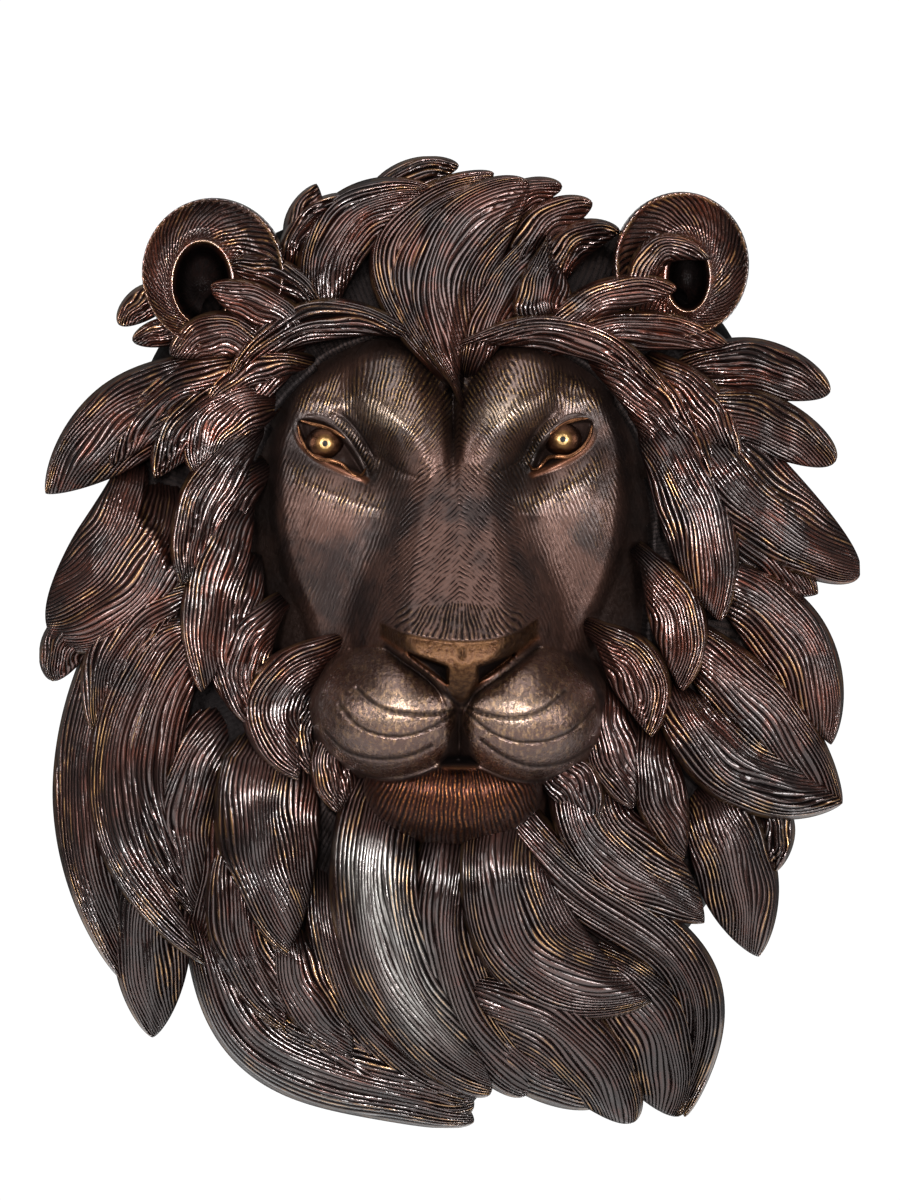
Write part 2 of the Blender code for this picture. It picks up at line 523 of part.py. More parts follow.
def hanging_pad():
    """Flat pad across the top of the hollow, in the plane of the rim."""
    top = (MOUNT_ROW - (CORE_ROW - CORE_UP)) * STEP_DOWN - PAD_SETBACK
    low = -PAD_DROP
    half = PAD_WIDTH / 2
    outline = [(-half, top), (half, top), (half, low + PAD_CORNER), (half - PAD_CORNER, low),
               (-half + PAD_CORNER, low), (-half, low + PAD_CORNER)]
    count = len(outline)
    points = [(x, 0, z) for x, z in outline] + [(x, -PAD_THICKNESS, z) for x, z in outline]
    faces = ring_faces(2, count) + [tuple(range(count)), tuple(range(count, 2 * count))]
    return closed_mesh("pad", points, faces)


def hanging_bore():
    """The round hole through the pad."""
    sides = 24
    turn = [2 * math.pi * i / sides for i in range(sides)]
    middle = -PAD_DROP + BORE_EDGE + HANGING_BORE / 2
    points = [(HANGING_BORE / 2 * math.cos(a), y, middle + HANGING_BORE / 2 * math.sin(a))
              for y in (PAD_THICKNESS, -2 * PAD_THICKNESS) for a in turn]
    faces = ring_faces(2, sides) + [tuple(range(sides)), tuple(range(sides, 2 * sides))]
    return closed_mesh("bore", points, faces)


# The bodies are fused on a grid of this pitch, and this share of the facets is kept.
FUSE_PITCH = 0.0020
FACETS_KEPT = 0.0135


def helper(thing):
    """Keeps a building shape out of the picture."""
    thing.hide_render = True
    thing.display_type = "WIRE"
    return thing


def combine(target, name, operation, others):
    """Adds or cuts the other shapes, held in a collection of their own."""
    group = bpy.data.collections.new(name)
    bpy.context.scene.collection.children.link(group)
    for other in others:
        bpy.context.scene.collection.objects.unlink(other)
        group.objects.link(helper(other))
    modifier = target.modifiers.new(name, "BOOLEAN")
    modifier.operation = operation
    modifier.operand_type = "COLLECTION"
    modifier.collection = group
    modifier.solver = "EXACT"


def fuse(target, bodies):
    """Runs all the bodies together as one casting, then drops the facets that flat places don't need."""
    shape = bmesh.new()
    shape.from_mesh(target.data)
    for body in bodies:
        shape.from_mesh(body.data)
        bpy.data.objects.remove(body, do_unlink=True)
    shape.to_mesh(target.data)
    shape.free()
    cast = target.modifiers.new("cast_as_one", "REMESH")
    cast.mode = "VOXEL"
    cast.voxel_size = FUSE_PITCH
    cast.adaptivity = 0
    trim = target.modifiers.new("fewer_facets", "DECIMATE")
    trim.decimate_type = "COLLAPSE"
    trim.ratio = FACETS_KEPT
    trim.use_collapse_triangulate = True


def brass():
    """Dark chocolate-brown patina over brass."""
    material = bpy.data.materials.new("brass_patina")
    material.use_nodes = True
    shader = material.node_tree.nodes["Principled BSDF"]
    shader.inputs["Base Color"].default_value = (0.11, 0.07, 0.05, 1)
    shader.inputs["Metallic"].default_value = 0.85
    shader.inputs["Roughness"].default_value = 0.33
    return material


for old in list(bpy.data.objects):
    bpy.data.objects.remove(old, do_unlink=True)

head = core_body()
head.name = "lion_head"
head.data.materials.append(brass())
ears = [ear_body(name, *sizes) for name, sizes in EARS.items()]
locks = [lock_body(name, plan) for name, plan in LOCKS.items()]
fuse(head, [face_body()] + ears + locks)
combine(head, "hollow_back", "DIFFERENCE", [hollow_cutter()])
combine(head, "hanging", "UNION", [hanging_pad()])
combine(head, "hook_hole", "DIFFERENCE", [hanging_bore()])
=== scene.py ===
"""Brass lion head wall hanging: one hollow casting with a dark patina, chased and rubbed back to brass."""
import math

import bpy
import numpy as np
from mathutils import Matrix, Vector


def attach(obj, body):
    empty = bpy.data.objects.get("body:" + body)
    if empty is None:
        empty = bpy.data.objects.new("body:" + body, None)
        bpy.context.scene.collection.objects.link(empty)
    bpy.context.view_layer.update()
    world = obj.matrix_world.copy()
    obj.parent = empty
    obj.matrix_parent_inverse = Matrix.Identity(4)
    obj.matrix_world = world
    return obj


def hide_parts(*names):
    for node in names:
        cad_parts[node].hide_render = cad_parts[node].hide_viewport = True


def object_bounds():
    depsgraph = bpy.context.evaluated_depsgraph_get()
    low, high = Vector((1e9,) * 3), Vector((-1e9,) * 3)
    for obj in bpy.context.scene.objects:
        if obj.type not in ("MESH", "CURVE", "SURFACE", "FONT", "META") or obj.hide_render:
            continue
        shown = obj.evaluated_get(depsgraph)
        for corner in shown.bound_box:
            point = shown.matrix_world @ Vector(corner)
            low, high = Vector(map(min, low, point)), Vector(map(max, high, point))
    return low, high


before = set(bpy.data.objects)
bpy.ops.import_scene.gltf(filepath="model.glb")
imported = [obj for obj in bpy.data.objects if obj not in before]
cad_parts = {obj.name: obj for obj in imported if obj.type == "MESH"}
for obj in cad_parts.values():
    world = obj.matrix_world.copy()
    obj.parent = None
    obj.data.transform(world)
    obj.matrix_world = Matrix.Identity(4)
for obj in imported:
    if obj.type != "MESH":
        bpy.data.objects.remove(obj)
cad_low, cad_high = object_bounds()


# Core of the casting. The real one is the shell that carries the mane: dark brass between the locks,
# painted near black as the patina and the shade there, a flat filed rim against the wall, and a rough
# cast hollow behind, left as it was poured.

# The head is laid out on the same drawing sheet as the solid: a place is a column and a row, seen
# from the front, and a height from the wall, all in steps. STEP and LIFT are a step in metres.
HEIGHT = 0.66
RELIEF = 0.205
HEAD_ROW, FOOT_ROW = 153, 1127
NOSE_COLUMN, MOUNT_ROW, NOSE_HEIGHT = 455, 222, 302
STEP = HEIGHT / (FOOT_ROW - HEAD_ROW)
LIFT = RELIEF / NOSE_HEIGHT
# Ovals that the mane lies on, of the core and of the face: middle column, middle row, half width,
# reach up, reach down. A power over 2 squares their corners.
SWELL = (452, 590, 405, 430, 535)
CORE = (448, 575, 335, 375, 450)
FACE = (450, 530, 204, 206, 330)
SQUARE, FACE_SQUARE = 2.4, 2.2
# The swell's height at its edge, its rise, the share where it ends and the power of its dome, then
# its hills at the brow, the chin and the beard: column, row, half width, half height, rise.
SWELL_EDGE, SWELL_RISE, SWELL_END, SWELL_POWER = 6, 144, 1.05, 2.4
SWELL_GAINS = ((453, 368, 92, 66, 44), (452, 840, 112, 90, 22), (440, 965, 135, 150, 50))
# How far the core lies under the swell, how rough it is, and how thin it is behind the face, in
# steps, then the wall's thickness and the rim's width.
CORE_SINK, CORE_ROUGH, BEHIND_FACE = 14, 1.5, 5
WALL, RIM = 0.008, 0.018
# How the front falls to the core's edge: shares of the oval, and of the height at each of them.
FALL_AT, FALL = (0.92, 0.97, 0.999, 1), (1, 0.85, 0.55, 0.5)
# Roof of the hollow: its rise, how far it reaches, the power of its dome, its least height and the
# share of the core where it ends, then the deeper place behind the muzzle.
ROOF_RISE, ROOF_REACH, ROOF_POWER, ROOF_LEAST, ROOF_END = 88, 1.04, 2.2, 6, 0.95
MUZZLE_HOLLOW = (457, 690, 82, 74, 118)
# How far a front and an underside stay over that roof.
FRONT_GAP, UNDER_GAP = 4, 2.5
# How finely the core is drawn: points round it, rings over its front and under its roof, and the
# share where the first and the last ring lie.
CORE_SIDES, FRONT_RINGS, ROOF_RINGS, FIRST_RING = 160, 70, 60, 0.02
# Small bevel on both edges of the rim: its height in steps and its width as a share.
BEVEL, BEVEL_SHARE = 2.0, 0.002
# Chisel strokes on its front, counted all the way round.
STROKES_ROUND = 360


def to_world(column, row, height):
    """A place on the sheet and a height from the wall, in metres from the mount."""
    return np.stack([(column - NOSE_COLUMN) * STEP, -height * LIFT, (MOUNT_ROW - row) * STEP], -1)


def oval_share(column, row, middle_column, middle_row, half_width, up, down, power=SQUARE):
    """0 at an oval's middle and 1 on its edge; a power over 2 squares its corners."""
    across = np.abs(column - middle_column) / half_width
    along = np.abs(row - middle_row) / np.where(row < middle_row, up, down)
    return (across ** power + along ** power) ** (1 / power)


def hill(column, row, middle, middle_row, wide, tall, rise):
    """A soft round hill, rise * exp(-x^2 - y^2), or a hollow where rise is negative."""
    return rise * np.exp(-((column - middle) / wide) ** 2 - ((row - middle_row) / tall) ** 2)


def hills(column, row, places):
    """Several hills together: the sum of their heights."""
    return sum(hill(column, row, *sizes) for sizes in places)


def swell(column, row):
    """Smooth height that the mane lies on: edge + rise * (1 - share^2.4), and its hills."""
    share = np.minimum(oval_share(column, row, *SWELL), SWELL_END) / SWELL_END
    return SWELL_EDGE + SWELL_RISE * (1 - share ** SWELL_POWER) + hills(column, row, SWELL_GAINS)


def waver(a, b, seed=0.0):
    """Smooth uneven wave of two directions, within about -1 and 1."""
    return (0.5 * np.sin(1.7 * a + 2.3 * seed) + 0.3 * np.sin(3.1 * a + 2.3 * b + 1.7 * seed)
            + 0.2 * np.sin(5.7 * b - 0.9 * a + 2.9 * seed))


def tube_faces(rings, around):
    """Quads between closed rings of the same number of points, as point numbers."""
    ring, point = np.meshgrid(np.arange(rings - 1), np.arange(around), indexing="ij")
    after = (point + 1) % around
    low, high = ring * around, (ring + 1) * around
    return np.stack([low + point, low + after, high + after, high + point], -1).reshape(-1, 4)


def fan(rim, middle):
    """Triangles from a ring of points to one point in its middle."""
    return np.stack([rim, np.roll(rim, -1), np.full(len(rim), middle)], -1)


def closed_tube(rings, around):
    """Faces of a tube whose ends are closed on two more points, at its first and its last ring."""
    rim, count = np.arange(around), rings * around
    ends = [fan(rim[::-1], count), fan(rim + count - around, count + 1)]
    return tube_faces(rings, around), np.concatenate(ends)


def piece(name, bodies, material):
    """One smooth mesh object of several closed bodies: (points, quads, triangles, attributes)."""
    points = np.clip(np.concatenate([body[0] for body in bodies]), cad_low, cad_high)
    starts = np.cumsum([0] + [len(body[0]) for body in bodies[:-1]])
    quads = np.concatenate([body[1] + start for body, start in zip(bodies, starts)])
    triangles = np.concatenate([body[2] + start for body, start in zip(bodies, starts)])
    corners = np.concatenate([quads.ravel(), triangles.ravel()])
    first = np.concatenate([np.arange(len(quads)) * 4, quads.size + np.arange(len(triangles)) * 3])
    mesh = bpy.data.meshes.new(name)
    mesh.vertices.add(len(points))
    mesh.vertices.foreach_set("co", points.astype(np.float32).ravel())
    mesh.loops.add(len(corners))
    mesh.loops.foreach_set("vertex_index", corners.astype(np.int32))
    mesh.polygons.add(len(first))
    mesh.polygons.foreach_set("loop_start", first.astype(np.int32))
    mesh.update(calc_edges=True)
    mesh.shade_smooth()
    for key in bodies[0][3]:
        values = np.concatenate([np.broadcast_to(body[3][key], len(body[0])) for body in bodies])
        mesh.attributes.new(key, "FLOAT", "POINT").data.foreach_set("value", values.astype(np.float32))
    thing = bpy.data.objects.new(name, mesh)
    bpy.context.scene.collection.objects.link(thing)
    mesh.materials.append(material)
    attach(thing, "root")
    return thing


class Nodes:
    """Short names for building a material's node tree."""

    def __init__(self, name):
        self.material = bpy.data.materials.new(name)
        self.material.use_nodes = True
        self.tree = self.material.node_tree
        self.shader = self.tree.nodes["Principled BSDF"]

    def add(self, kind, **settings):
        node = self.tree.nodes.new("ShaderNode" + kind)
        for key, value in settings.items():
            setattr(node, key, value)
        return node

    def put(self, socket, value):
        if isinstance(value, bpy.types.NodeSocket):
            self.tree.links.new(value, socket)
        else:
            socket.default_value = value

    def read(self, name):
        return self.add("Attribute", attribute_name=name).outputs["Fac"]

    def math(self, operation, a, b=0.0):
        node = self.add("Math", operation=operation)
        self.put(node.inputs[0], a)
        self.put(node.inputs[1], b)
        return node.outputs[0]

    def times(self, a, b):
        return self.math("MULTIPLY", a, b)

    def plus(self, a, b):
        return self.math("ADD", a, b)

    def less(self, a, b):
        return self.math("SUBTRACT", a, b)

    def most(self, a, b):
        return self.math("MAXIMUM", a, b)

    def crest(self, phase):
        """|cos(pi phase)|: 1 on a strand's crest and 0 in the groove beside it."""
        return self.math("ABSOLUTE", self.math("COSINE", self.times(phase, math.pi)))

    def parts(self, vector):
        """The X, Y and Z of a place."""
        node = self.add("SeparateXYZ")
        self.put(node.inputs[0], vector)
        return node.outputs

    def ramp(self, value, low, high, out_low=0.0, out_high=1.0):
        """A smooth step from out_low at low to out_high at high."""
        node = self.add("MapRange", interpolation_type="SMOOTHSTEP")
        for socket, given in zip(node.inputs, (value, low, high, out_low, out_high)):
            self.put(socket, given)
        return node.outputs[0]

    def mix(self, share, a, b):
        node = self.add("Mix", data_type="RGBA")
        self.put(node.inputs["Factor"], share)
        self.put(node.inputs[6], a)
        self.put(node.inputs[7], b)
        return node.outputs[2]

    def noise(self, vector, scale, detail=3.0, roughness=0.55):
        node = self.add("TexNoise")
        self.put(node.inputs["Vector"], vector)
        self.put(node.inputs["Scale"], scale)
        self.put(node.inputs["Detail"], detail)
        self.put(node.inputs["Roughness"], roughness)
        return node.outputs["Fac"]

    def vector(self, x, y, z):
        node = self.add("CombineXYZ")
        for socket, given in zip(node.inputs, (x, y, z)):
            self.put(socket, given)
        return node.outputs[0]

    def place(self):
        return self.add("TexCoord").outputs["Object"]

    def bump(self, height, distance, strength=1.0, normal=None):
        node = self.add("Bump")
        self.put(node.inputs["Height"], height)
        self.put(node.inputs["Distance"], distance)
        self.put(node.inputs["Strength"], strength)
        if normal:
            self.put(node.inputs["Normal"], normal)
        return node.outputs[0]

    def set(self, **inputs):
        for key, value in inputs.items():
            self.put(self.shader.inputs[key.replace("_", " ")], value)
        return self.material


def core_material():
    """Dark cast brass with a grainy skin, painted near black for its patina and for the shade between
    the locks, and paler where it was filed flat.
    """
    black, shaded_patina, filed_brass = (0.004, 0.003, 0.003, 1), (0.011, 0.007, 0.006, 1), (0.34, 0.21, 0.09, 1)
    nodes = Nodes("cast_brass")
    place = nodes.place()
    grain = nodes.noise(place, 260, 4)
    cloud = nodes.noise(place, 14, 4)
    hair = nodes.times(nodes.less(1.0, nodes.crest(nodes.read("strand"))), nodes.read("chased"))
    # Painted shade: the core is near black where it shows between the locks, and black in its stroke grooves.
    colour = nodes.mix(nodes.ramp(cloud, 0.35, 0.7), black, shaded_patina)
    colour = nodes.mix(hair, colour, black)
    colour = nodes.mix(nodes.read("filed"), colour, filed_brass)
    return nodes.set(Base_Color=colour, Metallic=0.95, Roughness=nodes.ramp(grain, 0.2, 0.8, 0.4, 0.6),
                     Normal=nodes.bump(hair, 0.0006, 0.25, nodes.bump(grain, 0.0006)))


def roof_height(column, row):
    """Roof of the hollow: an oval dome a wall's thickness under the mane, deep in the muzzle."""
    share = oval_share(column, row, *CORE) / ROOF_REACH
    dome = ROOF_RISE * np.sqrt(np.maximum(1 - share ** ROOF_POWER, 0)) - WALL / LIFT
    return np.maximum(dome + hill(column, row, *MUZZLE_HOLLOW), ROOF_LEAST)


def over_hollow(column, row, height, gap):
    """A height kept at least gap over the hollow's roof, so that nothing comes through into it."""
    inside = oval_share(column, row, *CORE) < ROOF_END
    return np.where(inside, np.maximum(height, roof_height(column, row) + gap), height)


def core_body():
    """Rings from the middle of the front, over the side to the rim, and up the hollow to its roof."""
    turn = np.linspace(0, 2 * math.pi, CORE_SIDES, endpoint=False)
    across, along = np.cos(turn), np.sin(turn)
    reach = (np.abs(across) ** SQUARE + np.abs(along) ** SQUARE) ** (-1 / SQUARE)
    middle_column, middle_row, half_width, up, down = CORE
    rings, filed, chased = [], [], []

    def ring(share, inset, height, finish=0.0, hair=0.0):
        column = middle_column + (half_width - inset) * across * reach * share
        row = middle_row + (np.where(along < 0, up, down) - inset) * along * reach * share
        rings.append(to_world(column, row, height(column, row, share)))
        filed.append(np.full(CORE_SIDES, finish))
        chased.append(np.full(CORE_SIDES, hair))

    def front(column, row, share):
        under_mane = swell(column, row) - CORE_SINK + CORE_ROUGH * waver(column / 5, row / 30)
        under_face = roof_height(column, row) + BEHIND_FACE
        in_face = oval_share(column, row, *FACE, FACE_SQUARE) < 0.97
        return np.where(in_face, under_face, under_mane) * np.interp(share, FALL_AT, FALL)

    def level(height):
        return lambda column, row, share: np.full(CORE_SIDES, height)

    for share in np.linspace(FIRST_RING, 1, FRONT_RINGS):
        ring(share, 0, front, hair=1.0)
    inset, on_rim, on_edge = RIM / STEP, 0.8, 0.3
    ring(1, 0, level(BEVEL))
    ring(1 - BEVEL_SHARE, 0, level(0.0), on_rim)
    ring(1 + BEVEL_SHARE, inset, level(0.0), on_rim)
    ring(1, inset, level(BEVEL), on_edge)
    for share in np.linspace(1, FIRST_RING, ROOF_RINGS):
        ring(share, inset, lambda column, row, share: roof_height(column, row))
    points = np.concatenate(rings)
    ends = np.array([rings[0].mean(0), rings[-1].mean(0)])
    sweep = np.tile(turn, len(rings)) * STROKES_ROUND / (2 * math.pi)
    sweep += 0.8 * waver(points[:, 0] * 25, points[:, 2] * 25)
    looks = {"filed": np.concatenate(filed + [np.zeros(2)]), "chased": np.concatenate(chased + [np.zeros(2)]),
             "strand": np.concatenate([sweep, np.zeros(2)])}
    return np.concatenate([points, ends]), *closed_tube(len(rings), CORE_SIDES), looks


def pad_body():
    """The hanging pad: its outline and the round hook hole, joined by the two faces and the walls."""
    width, drop, thickness, under_edge, sunk = 0.080, 0.030, 0.012, 0.004, 0.0005
    bore, over_foot = 0.012, 0.006
    sides = 64
    turn = np.linspace(0, 2 * math.pi, sides, endpoint=False)
    way = np.stack([np.cos(turn), np.sin(turn)], -1)
    hole = way * bore / 2 + [0, over_foot + bore / 2 - drop]
    top = (MOUNT_ROW - (CORE[1] - CORE[3])) * STEP - under_edge
    half = np.array([width / 2, (top + drop) / 2])
    outline = way * np.min(half / np.maximum(np.abs(way), 1e-6), axis=1, keepdims=True)
    outline += [0, (top - drop) / 2]
    places = ((outline, sunk), (outline, thickness), (hole, thickness), (hole, sunk))
    rings = [np.stack([flat[:, 0], np.full(sides, -depth), flat[:, 1]], -1) for flat, depth in places]
    quads = tube_faces(len(rings) + 1, sides) % (len(rings) * sides)
    looks = {"filed": 0.6, "chased": 0.0, "strand": 0.0}
    return np.concatenate(rings), quads, np.zeros((0, 3), int), looks


core = piece("core", [core_body(), pad_body()], core_material())
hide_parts("lion_head")


# The mane: overlapping flame-shaped locks, cast in one with the head. Each one is a domed leaf of
# brass with a plain rim along its outer edge; the hair is chased into it as wiry strands that follow
# that edge, dark between them, where the patina and painted shade lie, and rubbed back to copper and
# brass on their crests.

# A lock springs at its root and ends at its tip, both (column, row). Its middle is bowed to the
# left of that way by bow steps, and swing turns it into an S. neck is its width at the root as a
# share of width, belly is where it is widest, and blunt under 1 rounds the tip. lift is how high
# it stands over the swell at root and tip, thick is how far its ridge stands over its edges.
BACK, LOW, MID, TOP = (-18, 0), (-10, 6), (-2, 12), (4, 18)
LOCKS = {}


def lock(name, root, tip, bow, width, swing=0, neck=0.55, belly=0.45, blunt=0.78, lift=MID, thick=21):
    """Enters one lock in the mane's plan."""
    LOCKS[name] = dict(root=root, tip=tip, bow=bow, width=width, swing=swing, neck=neck,
                       belly=belly, blunt=blunt, lift=lift, thick=thick)


# Crown
lock("crown_back", (364, 238), (459, 167), 21, 40, blunt=0.55, lift=BACK)
lock("crown_spike", (302, 264), (317, 185), 4, 42, lift=BACK)
lock("crown_back_left", (335, 236), (381, 189), 11, 28, blunt=0.6, lift=BACK)
lock("crown_low", (285, 268), (350, 198), 12, 32, blunt=0.55, lift=LOW)
lock("crown_roll", (320, 312), (430, 188), 34, 68)
lock("crown_sweep", (438, 362), (494, 175), 70, 54, lift=LOW, blunt=0.55)
lock("crown_inner_sweep", (438, 358), (484, 184), 46, 56, blunt=0.8)
lock("forelock", (455, 388), (528, 184), 44, 88, neck=0.1, belly=0.58, blunt=0.6, lift=(2, 20), thick=29)
lock("crown_right_back", (488, 238), (562, 188), 14, 36, blunt=0.5, lift=BACK)
lock("crown_right_mid", (518, 288), (592, 205), 20, 48, blunt=0.55, lift=LOW)
lock("crown_right_curl", (548, 292), (619, 233), 20, 42, blunt=0.6, lift=LOW)
lock("crown_tuft", (542, 322), (546, 238), 2, 64, neck=0.9, belly=0.12, blunt=1.4, lift=TOP)
# Hair before the right ear, upper right of the ring round the face
lock("ear_right_tuft", (548, 334), (674, 292), 14, 38, blunt=0.5, lift=(4, 34))
lock("ear_right_low", (550, 348), (725, 346), 14, 42, blunt=0.6, lift=(0, 18))
lock("ring_top_right", (468, 346), (668, 399), 33, 40, neck=0.3, lift=TOP)
lock("ring_right_1", (655, 368), (737, 460), 6, 52)
lock("ring_right_2", (600, 362), (698, 458), 8, 54)
lock("ring_right_3", (640, 404), (712, 506), 8, 58, neck=0.7)
lock("ring_right_4", (660, 436), (717, 621), 8, 74, neck=0.7, blunt=0.7, lift=TOP, thick=29)
lock("ring_right_5", (646, 562), (679, 690), 14, 58, neck=0.4, lift=TOP)
lock("ring_right_6", (598, 632), (648, 735), 16, 60, neck=0.4, lift=TOP)
lock("ring_right_7", (594, 690), (630, 806), -2, 60)
lock("ring_right_8", (645, 730), (680, 858), -4, 54)
lock("ring_right_9", (540, 752), (596, 818), 6, 54, neck=0.6, lift=(4, 14))
# Outer right
lock("outer_right_1", (690, 366), (829, 393), 9, 60, blunt=0.55, lift=LOW)
lock("outer_right_2", (700, 404), (834, 462), 6, 60, blunt=0.5)
lock("outer_right_3", (704, 446), (858, 577), -8, 94, neck=0.8, belly=0.25, blunt=0.52, thick=29)
lock("outer_right_4", (690, 505), (816, 594), 0, 76, lift=BACK)
lock("outer_right_5", (715, 575), (829, 744), 24, 78, thick=25)
lock("outer_right_6", (692, 640), (841, 803), 0, 78, thick=25)
lock("outer_right_7", (670, 700), (841, 802), -22, 80, lift=TOP, thick=29)
lock("outer_right_8", (772, 795), (774, 870), 2, 38, lift=LOW)
lock("outer_right_9", (712, 800), (757, 955), 2, 82, neck=0.85, thick=25)
lock("outer_right_10", (572, 772), (702, 920), -16, 84, neck=0.65, swing=-6)
# Beard
lock("beard_long", (498, 796), (684, 1116), 58, 62, swing=-28, neck=0.8, blunt=0.6, lift=(-14, 12), thick=25)
lock("beard_leaf", (592, 960), (678, 1116), 14, 104, blunt=0.6, lift=LOW, thick=27)
lock("beard_right", (498, 828), (650, 998), -50, 104, neck=0.7, lift=TOP, thick=29)
lock("beard_low", (476, 985), (634, 1121), 18, 88, blunt=0.52, thick=27)
lock("beard_middle", (452, 838), (526, 1092), -30, 84, neck=0.75, blunt=0.5, lift=LOW)
lock("beard_foot", (470, 1004), (606, 1100), -8, 70, neck=0.7, blunt=0.55, lift=BACK)
lock("beard_centre", (380, 800), (490, 1090), -46, 90, neck=0.85, belly=0.35, blunt=0.5, lift=TOP, thick=27)
lock("beard_left", (325, 888), (468, 1102), -26, 76, blunt=0.6, lift=LOW)
lock("beard_under", (390, 980), (474, 1098), -6, 88, blunt=0.5, lift=BACK)
lock("beard_left_leaf", (287, 930), (354, 1054), -8, 64)
lock("beard_bottom", (206, 938), (474, 1119), -38, 89, swing=-13, neck=0.46, blunt=0.6, lift=LOW, thick=27)
lock("beard_bottom_inner", (285, 1010), (474, 1104), -12, 68, blunt=0.45, lift=LOW)
# Lower left
lock("left_leaf", (270, 757), (289, 951), -8, 106, neck=0.9, belly=0.3, lift=MID, thick=31)
lock("left_curl", (232, 850), (286, 1028), -12, 70, neck=0.5, lift=MID)
lock("left_spike", (158, 848), (153, 1037), -3, 80, neck=0.75, belly=0.48, blunt=0.72, lift=LOW, thick=25)
lock("left_long_1", (106, 645), (121, 978), -27, 66, lift=LOW)
lock("left_long_2", (165, 628), (208, 962), -66, 66, lift=TOP)
lock("left_long_3", (205, 628), (192, 906), -46, 62)
lock("left_long_4", (214, 726), (194, 912), -22, 66, neck=0.8, lift=LOW)
lock("left_long_5", (222, 785), (200, 962), 4, 68, lift=(-22, -8))
lock("left_long_6", (236, 880), (214, 990), 0, 56, lift=(-26, -14))
lock("left_fall_1", (198, 586), (94, 730), -30, 56)
lock("left_fall_2", (200, 622), (114, 706), -10, 52, lift=LOW)
lock("left_stub", (92, 616), (54, 681), -8, 50, blunt=0.55, lift=LOW)
lock("left_broken", (165, 495), (53, 638), 15, 122, neck=0.9, belly=0.4, blunt=0.46, lift=(4, 6), thick=29)
lock("left_upper_1", (206, 376), (47, 494), -9, 88, thick=27)
lock("left_upper_2", (235, 372), (113, 467), -17, 58, lift=TOP)
lock("left_upper_3", (252, 386), (158, 480), -14, 58)
lock("ring_left_0", (298, 350), (214, 432), -8, 52, neck=0.6, lift=LOW)
lock("ring_left_1", (264, 398), (195, 474), -12, 70, neck=0.75)
lock("ring_left_2", (248, 440), (184, 586), -10, 58, lift=TOP)
lock("ring_left_between", (252, 476), (196, 604), -12, 56, neck=0.7, lift=LOW)
lock("ring_left_3", (236, 522), (205, 691), -6, 62, neck=0.7, lift=TOP)
lock("ring_left_4", (246, 570), (230, 702), -4, 60, neck=0.7, lift=LOW)
lock("ring_left_5", (272, 612), (253, 724), -18, 54)
lock("ring_left_6", (326, 648), (302, 777), -38, 66, neck=0.4, lift=TOP)
lock("ring_left_7", (322, 690), (312, 772), -10, 38, lift=LOW)
lock("ring_left_8", (337, 722), (339, 809), -2, 52)
# Hair before the left ear, upper left of the ring round the face
lock("ear_left_low", (264, 350), (173, 358), -16, 50, blunt=0.6, lift=(6, 22))
lock("ear_left_tuft", (310, 336), (213, 289), -3, 44, blunt=0.55, lift=(2, 34))
lock("ear_left_upper", (320, 306), (231, 264), -6, 38, blunt=0.55, lift=(0, 24))
lock("ring_top_left", (400, 333), (231, 377), -30, 44, neck=0.4, lift=TOP)
lock("ring_top_left_2", (302, 364), (204, 409), -10, 38, neck=0.5)
lock("back_left_1", (172, 292), (120, 326), -5, 36, blunt=0.55, lift=BACK)
lock("back_left_2", (192, 330), (134, 342), -2, 30, blunt=0.55, lift=LOW)
# Hair behind the forelock, and the curl inside the right ear
lock("crown_behind", (472, 364), (538, 234), 4, 50, neck=0.6, lift=LOW)
lock("ear_right_inner", (634, 298), (708, 262), 30, 34, neck=0.7, blunt=0.6, lift=(14, 44))
# A lock's section: the share of its thickness where its edge and its underside lie, the least
# height off the wall, the power of its dome and how far the ridge leans to the outer edge.
LOCK_EDGE, LOCK_UNDER, OFF_WALL, DOME_POWER, LEAN = -0.2, -0.75, 2, 0.7, 0.22
# The root: how far it reaches back as a share of the length, where it is out, and how deep it sinks.
ROOT_REACH, ROOT_SHARE, ROOT_SINK = 0.14, 0.34, 24
# The strands and the plain rim beside them, in steps, then the partings: the shares of the lock's
# width where they lie, their width and depth, and then how deep its soft folds and dents are.
STRAND_PITCH, STRAND_DEPTH, PLAIN_RIM = 4.2, 2.5, 3.6
PARTINGS, PARTING_WIDTH, PARTING_DEPTH = (0.36, 0.68), 2.2, 1.8
FOLD_DEPTH, UNEVEN_DEPTH = 3.8, 1.1
# Strands differ in depth: a scattered number for each strand and lock, the same in mesh and finish.
STRAND_SHARP, SCATTER, LOCK_SCATTER, EVEN, UNEVEN = 0.8, 12.9898, 40.0, 0.84, 0.22
# Width lost at the root's end, power of the taper to the tip, and thickness lost at tip and root.
ROOT_NARROWS, TIP_POWER, TIP_THINS, ROOT_THINS = 0.35, 1.8, 0.75, 0.5
# Where an underside meets the core: the share where it starts to, over how much, and how deep.
ROOTED_FROM, ROOTED_OVER, ROOTED_DEPTH = 0.88, 0.12, 16
# How finely a lock is drawn: steps between points across and along it, fewest and most of them,
# and how close its points crowd toward its edges.
SAMPLE_ACROSS, SAMPLE_ALONG = 1.1, 3.8 / 1.1
ACROSS_LIMITS, ALONG_LIMITS, CROWDING = (26, 96), (22, 150), 0.92
UNDERSIDE = (0.8, 0.4, 0, -0.4, -0.8)


